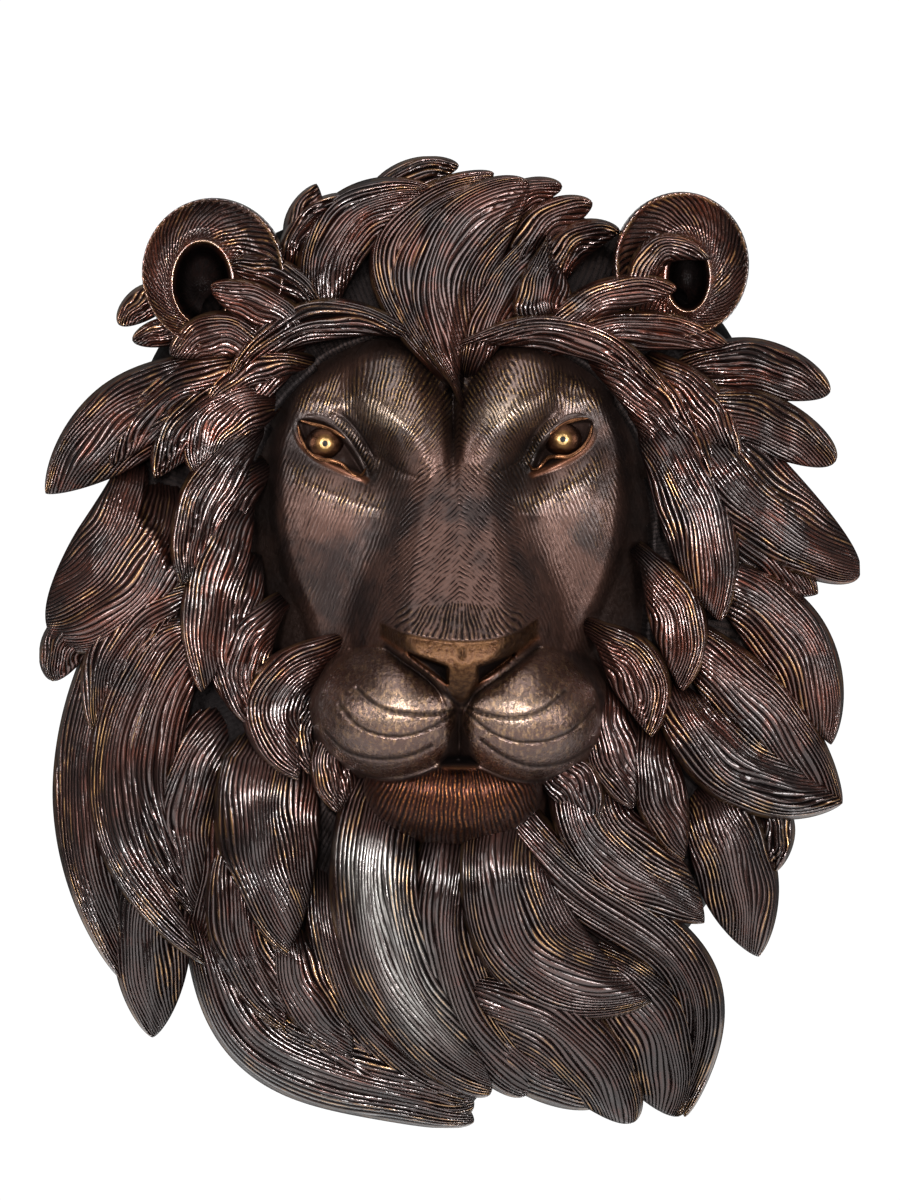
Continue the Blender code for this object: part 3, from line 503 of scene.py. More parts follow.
def lock_way(plan, along):
    """Middle of a lock and the unit vector to its left: a straight way, bowed 4 bow t (1 - t) and
    swung swing sin(2 pi t) to the left of it."""
    root, tip = np.array(plan["root"], float), np.array(plan["tip"], float)
    way = tip - root
    left = np.array([way[1], -way[0]]) / math.hypot(*way)
    off = 4 * plan["bow"] * along * (1 - along) + plan["swing"] * np.sin(2 * math.pi * along)
    turn = 4 * plan["bow"] * (1 - 2 * along) + 2 * math.pi * plan["swing"] * np.cos(2 * math.pi * along)
    middle = root + way * along[:, None] + left * off[:, None]
    heading = way + left * turn[:, None]
    heading /= np.linalg.norm(heading, axis=1, keepdims=True)
    return middle, np.stack([heading[:, 1], -heading[:, 0]], 1)


def lock_width(plan, along):
    """Half width: a quarter sine from the neck to the belly, then (1 - t^1.8)^blunt to the tip."""
    grow = plan["neck"] + (1 - plan["neck"]) * np.sin(math.pi / 2 * np.clip(along / plan["belly"], 0, 1))
    grow *= 1 + ROOT_NARROWS * np.minimum(along, 0) / ROOT_REACH
    past = np.maximum(along - plan["belly"], 0) / (1 - plan["belly"])
    return plan["width"] / 2 * np.where(past > 0, (1 - past ** TIP_POWER) ** plan["blunt"], grow)


def rooted(column, row, height):
    """An underside: free beyond the core, and sunk into it where the lock grows from it."""
    free = np.clip((oval_share(column, row, *CORE) - ROOTED_FROM) / ROOTED_OVER, 0, 1)
    sunk = np.minimum(height, swell(column, row) - CORE_SINK - ROOTED_DEPTH)
    return height * free + sunk * (1 - free)


def strands(from_edge, along, across, seed):
    """Chased hair: phase = distance from the outer edge / pitch, wavering, and where it is cut: not on
    the plain rim nor at the very edge."""
    phase = from_edge / STRAND_PITCH + 1.15 * waver(from_edge / 24, along * 3.0, seed)
    phase += 0.17 * np.sin(8 * along + from_edge / 5 + seed)
    chased = np.clip((from_edge - PLAIN_RIM) / 3, 0, 1) * np.clip((1 - np.abs(across)) / 0.06, 0, 1)
    return phase, chased


# The lock on the left that is broken off: the line of the break, and how deep it lies under the lock.
BREAK_LINE = ((150, 474), (141, 520), (158, 534), (172, 566))
BREAK_DEPTH = 24


def broken(column, row):
    """1 to the right of the broken edge, straight from one to the next place of its line."""
    places = np.array(BREAK_LINE, float)
    edge = np.interp(row, places[:, 1], places[:, 0])
    return np.clip((column - edge) / 3, 0, 1) * np.clip((places[-1, 1] - row) / 4, 0, 1)


def line(distance, width):
    """1 on a line and soft beside it: exp(-(distance / width)^2)."""
    return np.exp(-(distance / width) ** 2)


def partings(plan, seed, along, from_edge, widest):
    """Where the hair parts: wavering lines along the lock, fading toward its root."""
    parting = np.zeros(along.shape)
    for number, place in enumerate(PARTINGS):
        at = 2 * widest * (place + 0.07 * math.sin(9 * seed + number))
        away = from_edge - at - 2.5 * np.sin(4 * along + seed + number)
        parting = np.maximum(parting, line(away, PARTING_WIDTH))
    return parting * np.clip(along / 0.2 + 0.3, 0, 1) * min(1, plan["width"] / 60)


def with_ends(looks):
    """The attributes of a closed tube's points, then those of its first and its last point again."""
    flat = {key: value.ravel() for key, value in looks.items()}
    return {key: np.concatenate([value, value[:1], value[-1:]]) for key, value in flat.items()}


def lock_body(plan, seed, is_broken):
    """Domed section carried along the lock's way: height = swell + lift + thickness * dome, where the
    dome (1 - w^2)^0.7 leans to the outer edge, and then soft folds, partings and the strands."""
    length = math.dist(plan["root"], plan["tip"])
    bands = int(np.clip(length / SAMPLE_ALONG, *ALONG_LIMITS))
    dome = int(np.clip(plan["width"] / SAMPLE_ACROSS, *ACROSS_LIMITS))
    outer = 1 if plan["bow"] >= 0 else -1
    along = 1 - (1 + ROOT_REACH) * np.linspace(1, 0, bands, endpoint=False) ** 1.4
    middle, left = lock_way(plan, along)
    half = lock_width(plan, along)
    rooted_by = 1 - np.clip((along + ROOT_REACH) / ROOT_SHARE, 0, 1)
    lift = np.interp(along, (0, 1), plan["lift"]) - ROOT_SINK * rooted_by ** 2
    full = plan["thick"] * (1 - TIP_THINS * np.maximum(along, 0) ** 4) * (1 - ROOT_THINS * rooted_by ** 2)

    quarter = math.pi / 2 * CROWDING
    front = np.sin(np.linspace(-1, 1, dome) * quarter) / math.sin(quarter)
    across = np.concatenate([front, UNDERSIDE])
    around = len(across)
    is_under = np.arange(around) >= dome
    across = np.broadcast_to(across, (bands, around))
    t = np.broadcast_to(along[:, None], across.shape)
    arch = 1 - across ** 2

    leaning = across - LEAN * outer * arch
    stand = LOCK_EDGE + (1 - LOCK_EDGE) * np.maximum(1 - leaning ** 2, 0) ** DOME_POWER
    stand = np.where(is_under, LOCK_UNDER, stand)
    reach = half.max() * (half / half.max()) ** 0.65
    from_edge = (1 - across * outer) * reach[:, None]
    phase, chased = strands(from_edge, t, across, seed)
    chased = np.where(is_under, 0, chased)
    tone = 0.5 + 0.5 * math.sin(seed * 91.7)
    uneven = EVEN + UNEVEN * np.sin(np.floor(phase) * SCATTER + LOCK_SCATTER * tone)
    groove = (1 - np.abs(np.cos(math.pi * phase)) ** STRAND_SHARP) * chased * uneven
    shown = np.where(is_under, 0, 1 - across ** 8)
    parting = np.where(is_under, 0, partings(plan, seed, t, from_edge, half.max()))
    folds = np.cos(2 * math.pi * (1.2 + 0.5 * math.sin(seed * 5)) * across + 3 * seed + 2 * t) * arch
    relief = FOLD_DEPTH * folds * np.sin(math.pi * np.clip(t, 0, 1)) ** 0.6
    relief -= STRAND_DEPTH * groove * (1 - 0.4 * t ** 6) + PARTING_DEPTH * parting
    relief += UNEVEN_DEPTH * waver(t * 9, across * 1.5, seed + 3) * arch

    flat = middle[:, None, :] + left[:, None, :] * (half[:, None] * across)[..., None]
    column, row = flat[..., 0], flat[..., 1]
    height = swell(column, row) + lift[:, None] + full[:, None] * stand
    height = np.where(is_under, rooted(column, row, height), height)
    height = np.maximum(height, OFF_WALL + full[:, None] * (stand - LOCK_UNDER)) + relief * shown
    gone = broken(column, row) * (1 - is_under) * is_broken
    height = over_hollow(column, row, height - BREAK_DEPTH * gone, np.where(is_under, UNDER_GAP, FRONT_GAP))
    points = to_world(column, row, height).reshape(-1, 3)

    root, tip = points[:around].mean(0, keepdims=True), np.array([plan["tip"]], float)
    end = to_world(tip[:, 0], tip[:, 1], swell(tip[:, 0], tip[:, 1]) + plan["lift"][1])
    # A lock's rings run the other way round than a closed tube's, so its faces are turned over.
    quads, triangles = (faces[:, ::-1] for faces in closed_tube(bands, around))
    # Painted shade: darker at the lock's root, where it comes out from under its neighbours, toward its
    # edges, on its underside, in its partings and in the recess of the broken lock.
    painted_shade = np.clip(1 - (t + ROOT_REACH) / 0.36, 0, 1) * 0.95
    painted_shade = np.maximum(painted_shade, np.clip((np.abs(across) - 0.76) / 0.24, 0, 1) ** 1.6 * 0.9)
    painted_shade = np.where(is_under, 0.8, np.maximum(painted_shade, 0.35 * parting))
    painted_shade = np.maximum(painted_shade, 0.88 * gone)
    worn = np.where(is_under, 0, line(from_edge - 0.55 * PLAIN_RIM, 1.5))
    worn *= (0.5 + 0.5 * waver(t * 7, across * 0.2, seed + 8)) * (1 - gone)
    looks = {"strand": phase, "chased": chased, "painted_shade": painted_shade, "worn": worn,
             "along": t * length / 60 + 3 * seed, "lock": np.full(across.shape, tone)}
    return np.concatenate([points, root, end]), quads, triangles, with_ends(looks)


def mane_material():
    """Chocolate patina over brass: black in the grooves, patina and painted shade, red-brown and copper on
    the hair, and thin threads of bare brass where the crests are rubbed. Shade is painted at the locks'
    roots, edges and undersides and toward the bottom, and a highlight is painted down the beard."""
    black = (0.003, 0.0025, 0.0025, 1)
    dark_brown, red_brown = (0.021, 0.0074, 0.0055, 1), (0.080, 0.0262, 0.0170, 1)
    copper_red, bottom_shade_brown = (0.15, 0.031, 0.012, 1), (0.012, 0.0056, 0.0050, 1)
    rubbed_brass, worn_brass = (0.42, 0.24, 0.09, 1), (0.36, 0.20, 0.08, 1)
    highlight_silver = (0.21, 0.195, 0.182, 1)
    nodes = Nodes("mane_patina")
    place = nodes.place()
    names = ("strand", "chased", "painted_shade", "lock", "worn", "along")
    phase, chased, painted_shade, lock_tone, worn, along = (nodes.read(key) for key in names)

    def scattered(number):
        angle = nodes.plus(nodes.times(number, SCATTER), nodes.times(lock_tone, LOCK_SCATTER))
        return nodes.math("SINE", angle)

    groove = nodes.times(nodes.less(1.0, nodes.math("POWER", nodes.crest(phase), STRAND_SHARP)), chased)
    uneven = nodes.plus(nodes.times(scattered(nodes.math("FLOOR", phase)), UNEVEN), EVEN)
    groove = nodes.times(groove, uneven)
    tone = scattered(nodes.math("FLOOR", nodes.plus(phase, 0.5)))
    streaks = nodes.vector(nodes.times(along, 0.35), nodes.times(phase, 0.22), lock_tone)
    fine = nodes.noise(streaks, 6, 4, 0.6)
    cloud = nodes.noise(place, 17, 4)
    patches = nodes.noise(place, 46, 3)
    speck = nodes.noise(place, 900, 2)
    colour = nodes.mix(nodes.ramp(cloud, 0.36, 0.66), dark_brown, red_brown)
    reddened = nodes.times(nodes.ramp(patches, 0.44, 0.66), nodes.ramp(fine, 0.4, 0.65))
    colour = nodes.mix(nodes.times(reddened, 0.75), colour, copper_red)
    apart = nodes.parts(place)
    level = apart["Z"]
    # Painted shade: the mane is darker toward the bottom of the head.
    colour = nodes.mix(nodes.ramp(level, -0.24, -0.46, 0.0, 0.62), colour, bottom_shade_brown)

    # A highlight painted in pale metal down the middle of the beard: a slanted band between two levels.
    slant, offset = 0.41, 0.2375
    beside = nodes.math("ABSOLUTE", nodes.plus(nodes.plus(apart["X"], nodes.times(level, slant)), offset))
    highlight_streak = nodes.times(nodes.ramp(beside, 0.028, 0.008), nodes.ramp(level, -0.57, -0.53))
    highlight_streak = nodes.times(highlight_streak, nodes.ramp(level, -0.405, -0.425))
    highlight_streak = nodes.times(highlight_streak, nodes.ramp(fine, 0.42, 0.56, 0.25, 1.0))
    colour = nodes.mix(highlight_streak, colour, highlight_silver)

    rubbed = nodes.times(nodes.ramp(groove, 0.14, 0.02), nodes.ramp(fine, 0.46, 0.60))
    rubbed = nodes.times(rubbed, nodes.ramp(tone, 0.0, 0.8))
    rubbed = nodes.times(rubbed, nodes.times(nodes.ramp(patches, 0.38, 0.6), chased))
    colour = nodes.mix(nodes.times(rubbed, 0.85), colour, rubbed_brass)
    thread = nodes.times(worn, nodes.ramp(nodes.noise(place, 60, 3), 0.42, 0.56))
    colour = nodes.mix(nodes.times(thread, 0.8), colour, worn_brass)
    # Painted shade: black in the strands' grooves, over their dark patina, and at the roots, edges and
    # undersides that the lock's attributes mark.
    shade = nodes.most(nodes.ramp(groove, 0.07, 0.48, 0.0, 0.97), painted_shade)
    colour = nodes.mix(nodes.times(shade, 0.97), colour, black)
    rough = nodes.plus(nodes.ramp(fine, 0.3, 0.7, 0.17, 0.32), nodes.ramp(shade, 0, 1, 0, 0.35))
    skin = nodes.bump(fine, 0.0005, 0.6, nodes.bump(speck, 0.0001, 0.4))
    grain = nodes.bump(nodes.less(1.0, groove), 0.0011, 0.9, skin)
    nodes.set(Specular_IOR_Level=0.9, Coat_Roughness=0.10, Coat_Normal=grain)
    nodes.set(Metallic=nodes.ramp(shade, 0, 1, 0.8, 1.0), Coat_Weight=nodes.ramp(shade, 0, 0.9, 0.95, 0.03))
    return nodes.set(Base_Color=colour, Roughness=rough, Normal=grain)


mane_finish = mane_material()
# The mane's groups, each with the starts of its locks' names.
MANE = {
    "crown": ("crown_", "forelock"),
    "hair_right": ("ear_right", "ring_top_right", "ring_right"),
    "outer_right": ("outer_right",),
    "beard": ("beard",),
    "left_fall": ("left_",),
    "hair_left": ("ring_left", "ear_left", "ring_top_left", "back_left"),
}
seeds = {name: 0.37 * (number + 1) for number, name in enumerate(LOCKS)}
for group, starts in MANE.items():
    names = [name for name in LOCKS if name.startswith(starts)]
    bodies = [lock_body(LOCKS[name], seeds[name], name == "left_broken") for name in names]
    piece("mane_" + group, bodies, mane_finish)


# The face, cast with the head and finished by hand: smooth polished planes, short chased hair strokes
# that run with the fur, hammered whisker pads with beaded grooves, and a smooth leather nose.

# Middle line of the face from the brow to the lip: row, height, half width of the flat of the nose.
BRIDGE = ((340, 132, 18), (390, 154, 24), (430, 168, 28), (460, 184, 35), (482, 196, 43), (505, 208, 50),
          (540, 228, 59), (580, 254, 67), (612, 276, 73), (632, 292, 72), (646, 298, 66), (659, 300, 54),
          (673, 296, 36), (688, 284, 22), (705, 262, 14), (722, 214, 10), (740, 180, 8))
# Rounded masses: column, row, half width, half height, turn, height where they spring, rise, how
# softly they join the rest, and how far they lean back upward (or, below 0, downward).
MASSES = (
    (457, 636, 104, 116, 0, 144, 84, 40, 0),
    (457, 706, 118, 92, 0, 150, 92, 30, 0),
    (399, 709, 81, 69, 0, 168, 116, 10, 0),
    (518, 711, 79, 69, 0, 168, 116, 10, 0),
    (452, 788, 89, 54, 0, 142, 100, 10, 0),
    (402, 411, 42, 74, -0.46, 140, 54, 34, 0.3),
    (506, 409, 42, 73, 0.46, 140, 54, 34, 0.3),
)
# Soft swellings and hollows: column, row, half width, half height, rise.
SWELLINGS = (
    (320, 402, 40, 26, 9), (580, 398, 38, 26, 9),
    (305, 520, 42, 60, 12), (598, 515, 40, 60, 12),
    (338, 452, 46, 28, -13), (552, 448, 44, 28, -13),
    (331, 450, 20, 14, 14), (559, 446, 19, 14, 14),
    (377, 462, 20, 30, -26), (526, 464, 19, 30, -26),
    (453, 424, 6, 46, -26), (453, 410, 22, 50, -4),
    (392, 432, 24, 22, 10), (514, 430, 24, 22, 10), (372, 372, 30, 22, -8), (538, 370, 30, 22, -8),
    (352, 640, 26, 60, -14), (566, 640, 26, 60, -14),
    (459, 730, 6, 30, -14), (457, 757, 13, 6, -16),
)
# Height of the face's own dome at its edge and its rise, then how square the oval is over the eyes.
FACE_EDGE, FACE_RISE, BROW_SQUARE = 90, 92, 3.0
# The smooth channel round the face, where shade is painted: rows, where the fur stops across the oval
# at each of them, the width of that step, and its depth.
CHANNEL_ROWS, CHANNEL, CHANNEL_WIDTH, CHANNEL_DEPTH = (450, 560, 615), (0.865, 0.80, 0.72), 0.045, 15
# Folds under the eyes: rise, then their line.
EYE_BAGS = ((2.6, ((290, 448), (300, 472), (322, 491), (350, 503), (376, 508))),
            (2.6, ((598, 444), (589, 468), (570, 487), (547, 499), (524, 504))),
            (0.9, ((284, 486), (304, 506), (330, 519), (366, 528))),
            (0.9, ((604, 482), (588, 502), (562, 515), (530, 524))))
# Lines cut into the face, each a trail of places: the grooves on the pads, then the crease under the
# nose and the wings beside it.
PAD_GROOVES = (
    ((360, 686), (375, 699), (392, 707), (412, 710), (438, 710), (456, 706)),
    ((343, 703), (360, 721), (380, 730), (402, 732), (424, 727), (444, 717), (456, 709)),
    ((328, 727), (348, 746), (378, 754), (410, 751), (432, 742)),
    ((466, 704), (484, 710), (512, 714), (536, 708), (562, 688)),
    ((466, 708), (488, 727), (515, 737), (545, 736), (572, 724), (591, 704)),
    ((480, 736), (500, 750), (528, 761), (560, 758), (588, 744)),
)
NOSE_CREASES = (((388, 646), (402, 659), (422, 673), (442, 688), (459, 703)),
                ((536, 646), (520, 659), (498, 675), (478, 689), (463, 703)))
NOSE_WINGS = (((384, 637), (404, 650), (425, 665), (446, 683)),
              ((536, 637), (516, 652), (496, 668), (477, 683)))
# The middle of the muzzle, and the outer and inner end of each nostril, as columns.
NOSE_MIDDLE = NOSE_COLUMN + 4
NOSTRILS = ((407, 448), (517, 476))
# Upper edge of the nose's leather, where the fur ends over it.
FUR_EDGE = ((382, 622), (400, 630), (420, 635), (440, 638), (460, 639.5), (480, 639), (502, 635), (518, 629),
            (534, 619))
# Lower edge of the nose's leather: it follows the wings and hangs down as the septum between them.
LEATHER_FOOT = ((378, 630), (386, 640), (405, 651), (425, 665), (446, 683), (455, 697), (466, 698),
                (477, 684), (496, 669), (515, 653), (534, 640), (542, 630))
# Lower edge of the pads, where they end over the chin.
PADS_FOOT = ((325, 742), (350, 763), (384, 775), (420, 770), (438, 763), (459, 764), (478, 763), (497, 771),
             (535, 777), (570, 764), (598, 742))
# Hammered whisker pads: column, row, half width, half height.
PADS = ((399, 709, 84, 74), (518, 711, 82, 74))
# Places with their own finish: column, row, half width, half height, share. The pads' gilt is brightest
# where a highlight is painted on it, the brows and cheeks are rubbed to gold, and shade is painted in
# the inner corners of the eyes.
PAD_HIGHLIGHTS = ((398, 705, 46, 30, 1), (519, 707, 46, 30, 1))
BROW_LOBES = ((403, 405, 46, 50, 1), (507, 402, 46, 50, 1))
EYE_BROWS = ((322, 400, 40, 22, 1), (574, 396, 40, 22, 1))
WORN_CHEEKS = ((590, 505, 34, 44, 0.35), (300, 600, 24, 34, 0.2))
SHADED_INNER_CORNERS = ((378, 466, 26, 34, 1), (520, 470, 26, 34, 1))
# Highlights painted as spots of pale metal on the brow lobes and the pads: column, row, half width, half
# height, share.
HIGHLIGHT_SPOTS = ((376, 411, 15, 9, 0.8), (392, 422, 13, 9, 0.8), (495, 420, 13, 9, 0.8), (512, 411, 18, 9, 0.8),
             (399, 698, 24, 10, 0.5), (392, 716, 26, 7, 0.4), (512, 701, 28, 9, 0.5), (510, 718, 26, 7, 0.4))
# Depths of what is cut into the face and rises of what stands on it, in steps, then the pitch of the
# lashes and the length of an eye.
LEATHER_DEPTH, DIMPLE_DEPTH, CREASE_DEPTH, NOSTRIL_DEPTH = 3.2, 3, 8, 30
PAD_GROOVE_DEPTH, PAD_PARTING_DEPTH, MOUTH_DEPTH, UNDER_PAD_DEPTH = 3.4, 13, 10, 2
EYE_DEPTH, LID_FOLD_DEPTH = 9, 4.5
BEAD_RISE, WING_RISE, HAMMER_RISE, LIP_RISE, LID_RISE, FUR_RISE = 1.0, 2.6, 0.8, 3, 3.4, 0.35
LASH_PITCH, EYE_LENGTH = 3.5, 88
# Families of chisel strokes besides the steep ones, each with the attribute that says where it lies.
FAMILIES = {"rays": "on_lobes", "chevron": "on_bridge", "spray": "on_spray", "comb": "chin"}
# All attributes that the finish of the face reads.
FACE_LOOKS = ("strength", "dark", "gold", "pad", "leather", "wings", "gilt_and_highlight", "painted_highlight", "recess_shade",
              "steep", *FAMILIES, *FAMILIES.values())


def smooth_max(a, b, blend):
    """The greater of two heights, rounded over where they are within blend of each other."""
    mix = np.clip(0.5 + 0.5 * (a - b) / blend, 0, 1)
    return b + (a - b) * mix + blend * mix * (1 - mix)


def smooth_curve(at, knots, values):
    """A smooth curve through the values given at the knots (cubic, slopes from the neighbours)."""
    knots, values = np.array(knots, float), np.array(values, float)
    slope = np.gradient(values, knots)
    at = np.clip(at, knots[0], knots[-1])
    left = np.clip(np.searchsorted(knots, at, side="right") - 1, 0, len(knots) - 2)
    span = knots[left + 1] - knots[left]
    t = (at - knots[left]) / span
    return ((2 * t ** 3 - 3 * t ** 2 + 1) * values[left] + (t ** 3 - 2 * t ** 2 + t) * span * slope[left]
            + (3 * t ** 2 - 2 * t ** 3) * values[left + 1] + (t ** 3 - t ** 2) * span * slope[left + 1])


def trail(places, count=60):
    """Even points along a smooth curve through the places."""
    places = np.array(places, float)
    gone = np.concatenate([[0], np.cumsum(np.linalg.norm(np.diff(places, axis=0), axis=1))])
    at = np.linspace(0, gone[-1], count)
    return np.stack([smooth_curve(at, gone, places[:, axis]) for axis in range(places.shape[1])], 1), at


def from_trail(column, row, places):
    """Distance of each place from a trail, and how far along it lies."""
    points, gone = trail(places)
    distance, along = np.full(column.shape, 99.0), np.zeros(column.shape)
    low, high = points.min(0) - 12, points.max(0) + 12
    near = (column > low[0]) & (column < high[0]) & (row > low[1]) & (row < high[1])
    square = ((np.stack([column[near], row[near]], -1)[:, None] - points) ** 2).sum(-1)
    distance[near] = np.sqrt(square.min(1))
    along[near] = gone[square.argmin(1)]
    return distance, along


def soft(value, low, high):
    """0 below low, 1 above high, smooth between them."""
    t = np.clip((value - low) / (high - low), 0, 1)
    return t * t * (3 - 2 * t)


def band(value, low, rise, fall, high):
    """1 from rise to fall, 0 below low and above high, smooth between them."""
    return soft(value, low, rise) * (1 - soft(value, fall, high))


def face_share(column, row):
    """0 in the middle of the face and 1 on its edge: an oval, squarer over the eyes."""
    return oval_share(column, row, *FACE, np.where(row < FACE[1], BROW_SQUARE, FACE_SQUARE))


def channel_share(column, row):
    """0 on the fur and 1 in the smooth channel round it, which ends beside the muzzle."""
    edge = smooth_curve(row, CHANNEL_ROWS, CHANNEL)
    share = face_share(column, row)
    return soft(share, edge - CHANNEL_WIDTH, edge + CHANNEL_WIDTH) * (1 - soft(row, 640, 700))


def face_form(column, row):
    """Main forms: the bridge, the muzzle's masses and the chin, rounded together over a domed face."""
    share = face_share(column, row)
    height = FACE_EDGE + FACE_RISE * np.where(share < 1, 1 - share ** 1.9, -2.2 * (share - 1))
    rows, tops, halves = zip(*BRIDGE)
    out = np.abs(column - (NOSE_COLUMN + 1)) / smooth_curve(row, rows, halves)
    flank = line(np.maximum(out - 0.58, 0), 0.60) * (1 - soft(row, 715, 750))
    height += (smooth_curve(row, rows, tops) - 10 * np.minimum(out, 1.5) ** 2 - height) * flank
    for middle, middle_row, wide, tall, turn, spring, rise, blend, lean in MASSES:
        x, y = column - middle, row - middle_row
        across = (x * math.cos(turn) + y * math.sin(turn)) / wide
        along = (y * math.cos(turn) - x * math.sin(turn)) / tall
        out = np.hypot(across, along)
        mass = spring + rise * (np.sqrt(np.maximum(1 - out ** 2, 0)) - 2 * np.maximum(out - 1, 0))
        height = smooth_max(height, mass + lean * y, blend)
    return height - CHANNEL_DEPTH * channel_share(column, row) + hills(column, row, SWELLINGS)


# Each eye: outer corner, inner corner, and which way is up across that line.
EYES = {"left": ((300, 424), (368, 479), 1), "right": ((590, 424), (530, 474), -1)}


def eye_frame(column, row, eye):
    """Share along the eye from the outer to the inner corner, and steps above that line."""
    outer, inner, up = EYES[eye]
    outer, inner = np.array(outer, float), np.array(inner, float)
    way = inner - outer
    length = math.hypot(*way)
    way /= length
    along = ((column - outer[0]) * way[0] + (row - outer[1]) * way[1]) / length
    above = ((column - outer[0]) * way[1] - (row - outer[1]) * way[0]) * up
    return along, above


def lid_lines(along):
    """Upper and lower edge of the eye's opening: 16 sin(pi s^0.75)^0.9 and -13 sin(pi s^0.66)."""
    s = np.clip(along, 0, 1)
    return 16 * np.sin(math.pi * s ** 0.75) ** 0.9, -13 * np.sin(math.pi * s ** 0.66)


def nostril(column, row, outer, inner):
    """1 inside a nostril: a wedge that opens toward the septum, under the nose's leather."""
    u = (column - outer) / (inner - outer)
    v = np.clip(u, 0, 1.2)
    top, foot = 650 + 15 * v, 651.5 + 31 * v ** 0.9
    return soft(row - top, -1.5, 1.5) * (1 - soft(row - foot, -2.5, 0.5)) * band(u, 0.02, 0.15, 0.93, 1.03)


def darken(face, share):
    """Paints shade into the face as dark as the share says, where it isn't darker yet."""
    face["dark"] = np.maximum(face["dark"], share)


def cut_nose(column, row, face):
    """The nose: leather under the edge of the fur, nostrils, wings and the crease round them."""
    side = np.abs(column - NOSE_MIDDLE)
    under_fur = row - smooth_curve(column, *zip(*FUR_EDGE))
    under_leather = row - smooth_curve(column, *zip(*LEATHER_FOOT))
    leather = soft(under_fur, -1.0, 1.0) * (1 - soft(under_leather, -1.5, 1.0)) * soft(side, 80, 74)
    step = soft(under_fur, -1.5, 2.5) * (1 - soft(under_leather, -3, 6)) * soft(side, 86, 74)
    dimple = line(column - 462, 2.6) * band(row, 643, 649, 652, 661)
    face["cut"] -= LEATHER_DEPTH * step + DIMPLE_DEPTH * dimple
    for places in NOSE_CREASES:
        distance, along = from_trail(column, row, places)
        crease = line(distance, 3.6)
        face["cut"] -= CREASE_DEPTH * crease + BEAD_RISE * line(distance, 2.5) * np.cos(along * 1.9)
        # Painted shade in the crease.
        darken(face, 0.95 * crease)
    wings = np.zeros(column.shape)
    for places in NOSE_WINGS:
        wings = np.maximum(wings, line(from_trail(column, row, places)[0], 1.9))
    face["cut"] += WING_RISE * wings
    for outer, inner in NOSTRILS:
        opening = nostril(column, row, outer, inner)
        face["cut"] -= NOSTRIL_DEPTH * opening
        # Painted shade in the nostril.
        darken(face, opening * (1 - wings))
    face.update(leather=leather, under_leather=under_leather, wings=wings)


def cut_pads(column, row, face):
    """The whisker pads: hammered, with beaded grooves, and parted in the middle."""
    pad = np.zeros(column.shape)
    for middle, middle_row, wide, tall in PADS:
        share = np.hypot((column - middle) / wide, (row - middle_row) / tall)
        pad = np.maximum(pad, 1 - soft(share, 0.86, 1.0))
    under_pads = row - smooth_curve(column, *zip(*PADS_FOOT))
    part_half = 3 + np.clip(row - 722, 0, 35) * 0.42
    parted = 1 - soft(np.abs(column - 458.5), part_half - 1.5, part_half + 2.5)
    parted *= band(row, 700, 708, 760, 763)
    pad *= (1 - face["leather"]) * soft(face["under_leather"], 2, 8) * soft(row, 634, 648)
    pad *= (1 - soft(under_pads, -2, 1.5)) * (1 - parted)
    face.update(pad=pad, parted=parted, under_pads=under_pads)
    face["bald"] = np.maximum(np.maximum(face["leather"], face["dark"]), pad)
    for places in PAD_GROOVES:
        distance, along = from_trail(column, row, places)
        groove = line(distance, 1.9)
        face["cut"] -= PAD_GROOVE_DEPTH * groove * (1 + 0.35 * np.cos(along * 2.3))
        # Painted shade in the pad's groove.
        darken(face, groove)
    blows = waver(column / 2.6, row / 2.9, 1.3) * waver(column / 3.7 + 2, row / 3.3, 4.1)
    face["cut"] += HAMMER_RISE * pad * blows


def cut_mouth(column, row, face):
    """The mouth: a line between the pads, a small opening under them and the edge of the lip, with shade
    painted in the line, in the opening and under the pads.
    """
    side = np.abs(column - NOSE_MIDDLE)
    gape = 2 + np.clip(row - 742, 0, 30) * 0.85
    mouth = band(row, 744, 754, 759, 762) * (1 - soft(side, gape, gape + 3))
    between = line(side, 5.5) * band(row, 703, 712, 744, 758)
    under = line(face["under_pads"], 2.2) * band(side, 18, 26, 100, 120)
    lip = line(row - 763.5, 1.5) * (1 - soft(side, 13, 18))
    face["cut"] -= MOUTH_DEPTH * mouth + PAD_PARTING_DEPTH * between + UNDER_PAD_DEPTH * under
    face["cut"] += LIP_RISE * lip
    darken(face, np.maximum(np.maximum(mouth, 0.7 * face["parted"]), 0.8 * under))
    face["wings"] = np.maximum(face["wings"], lip)


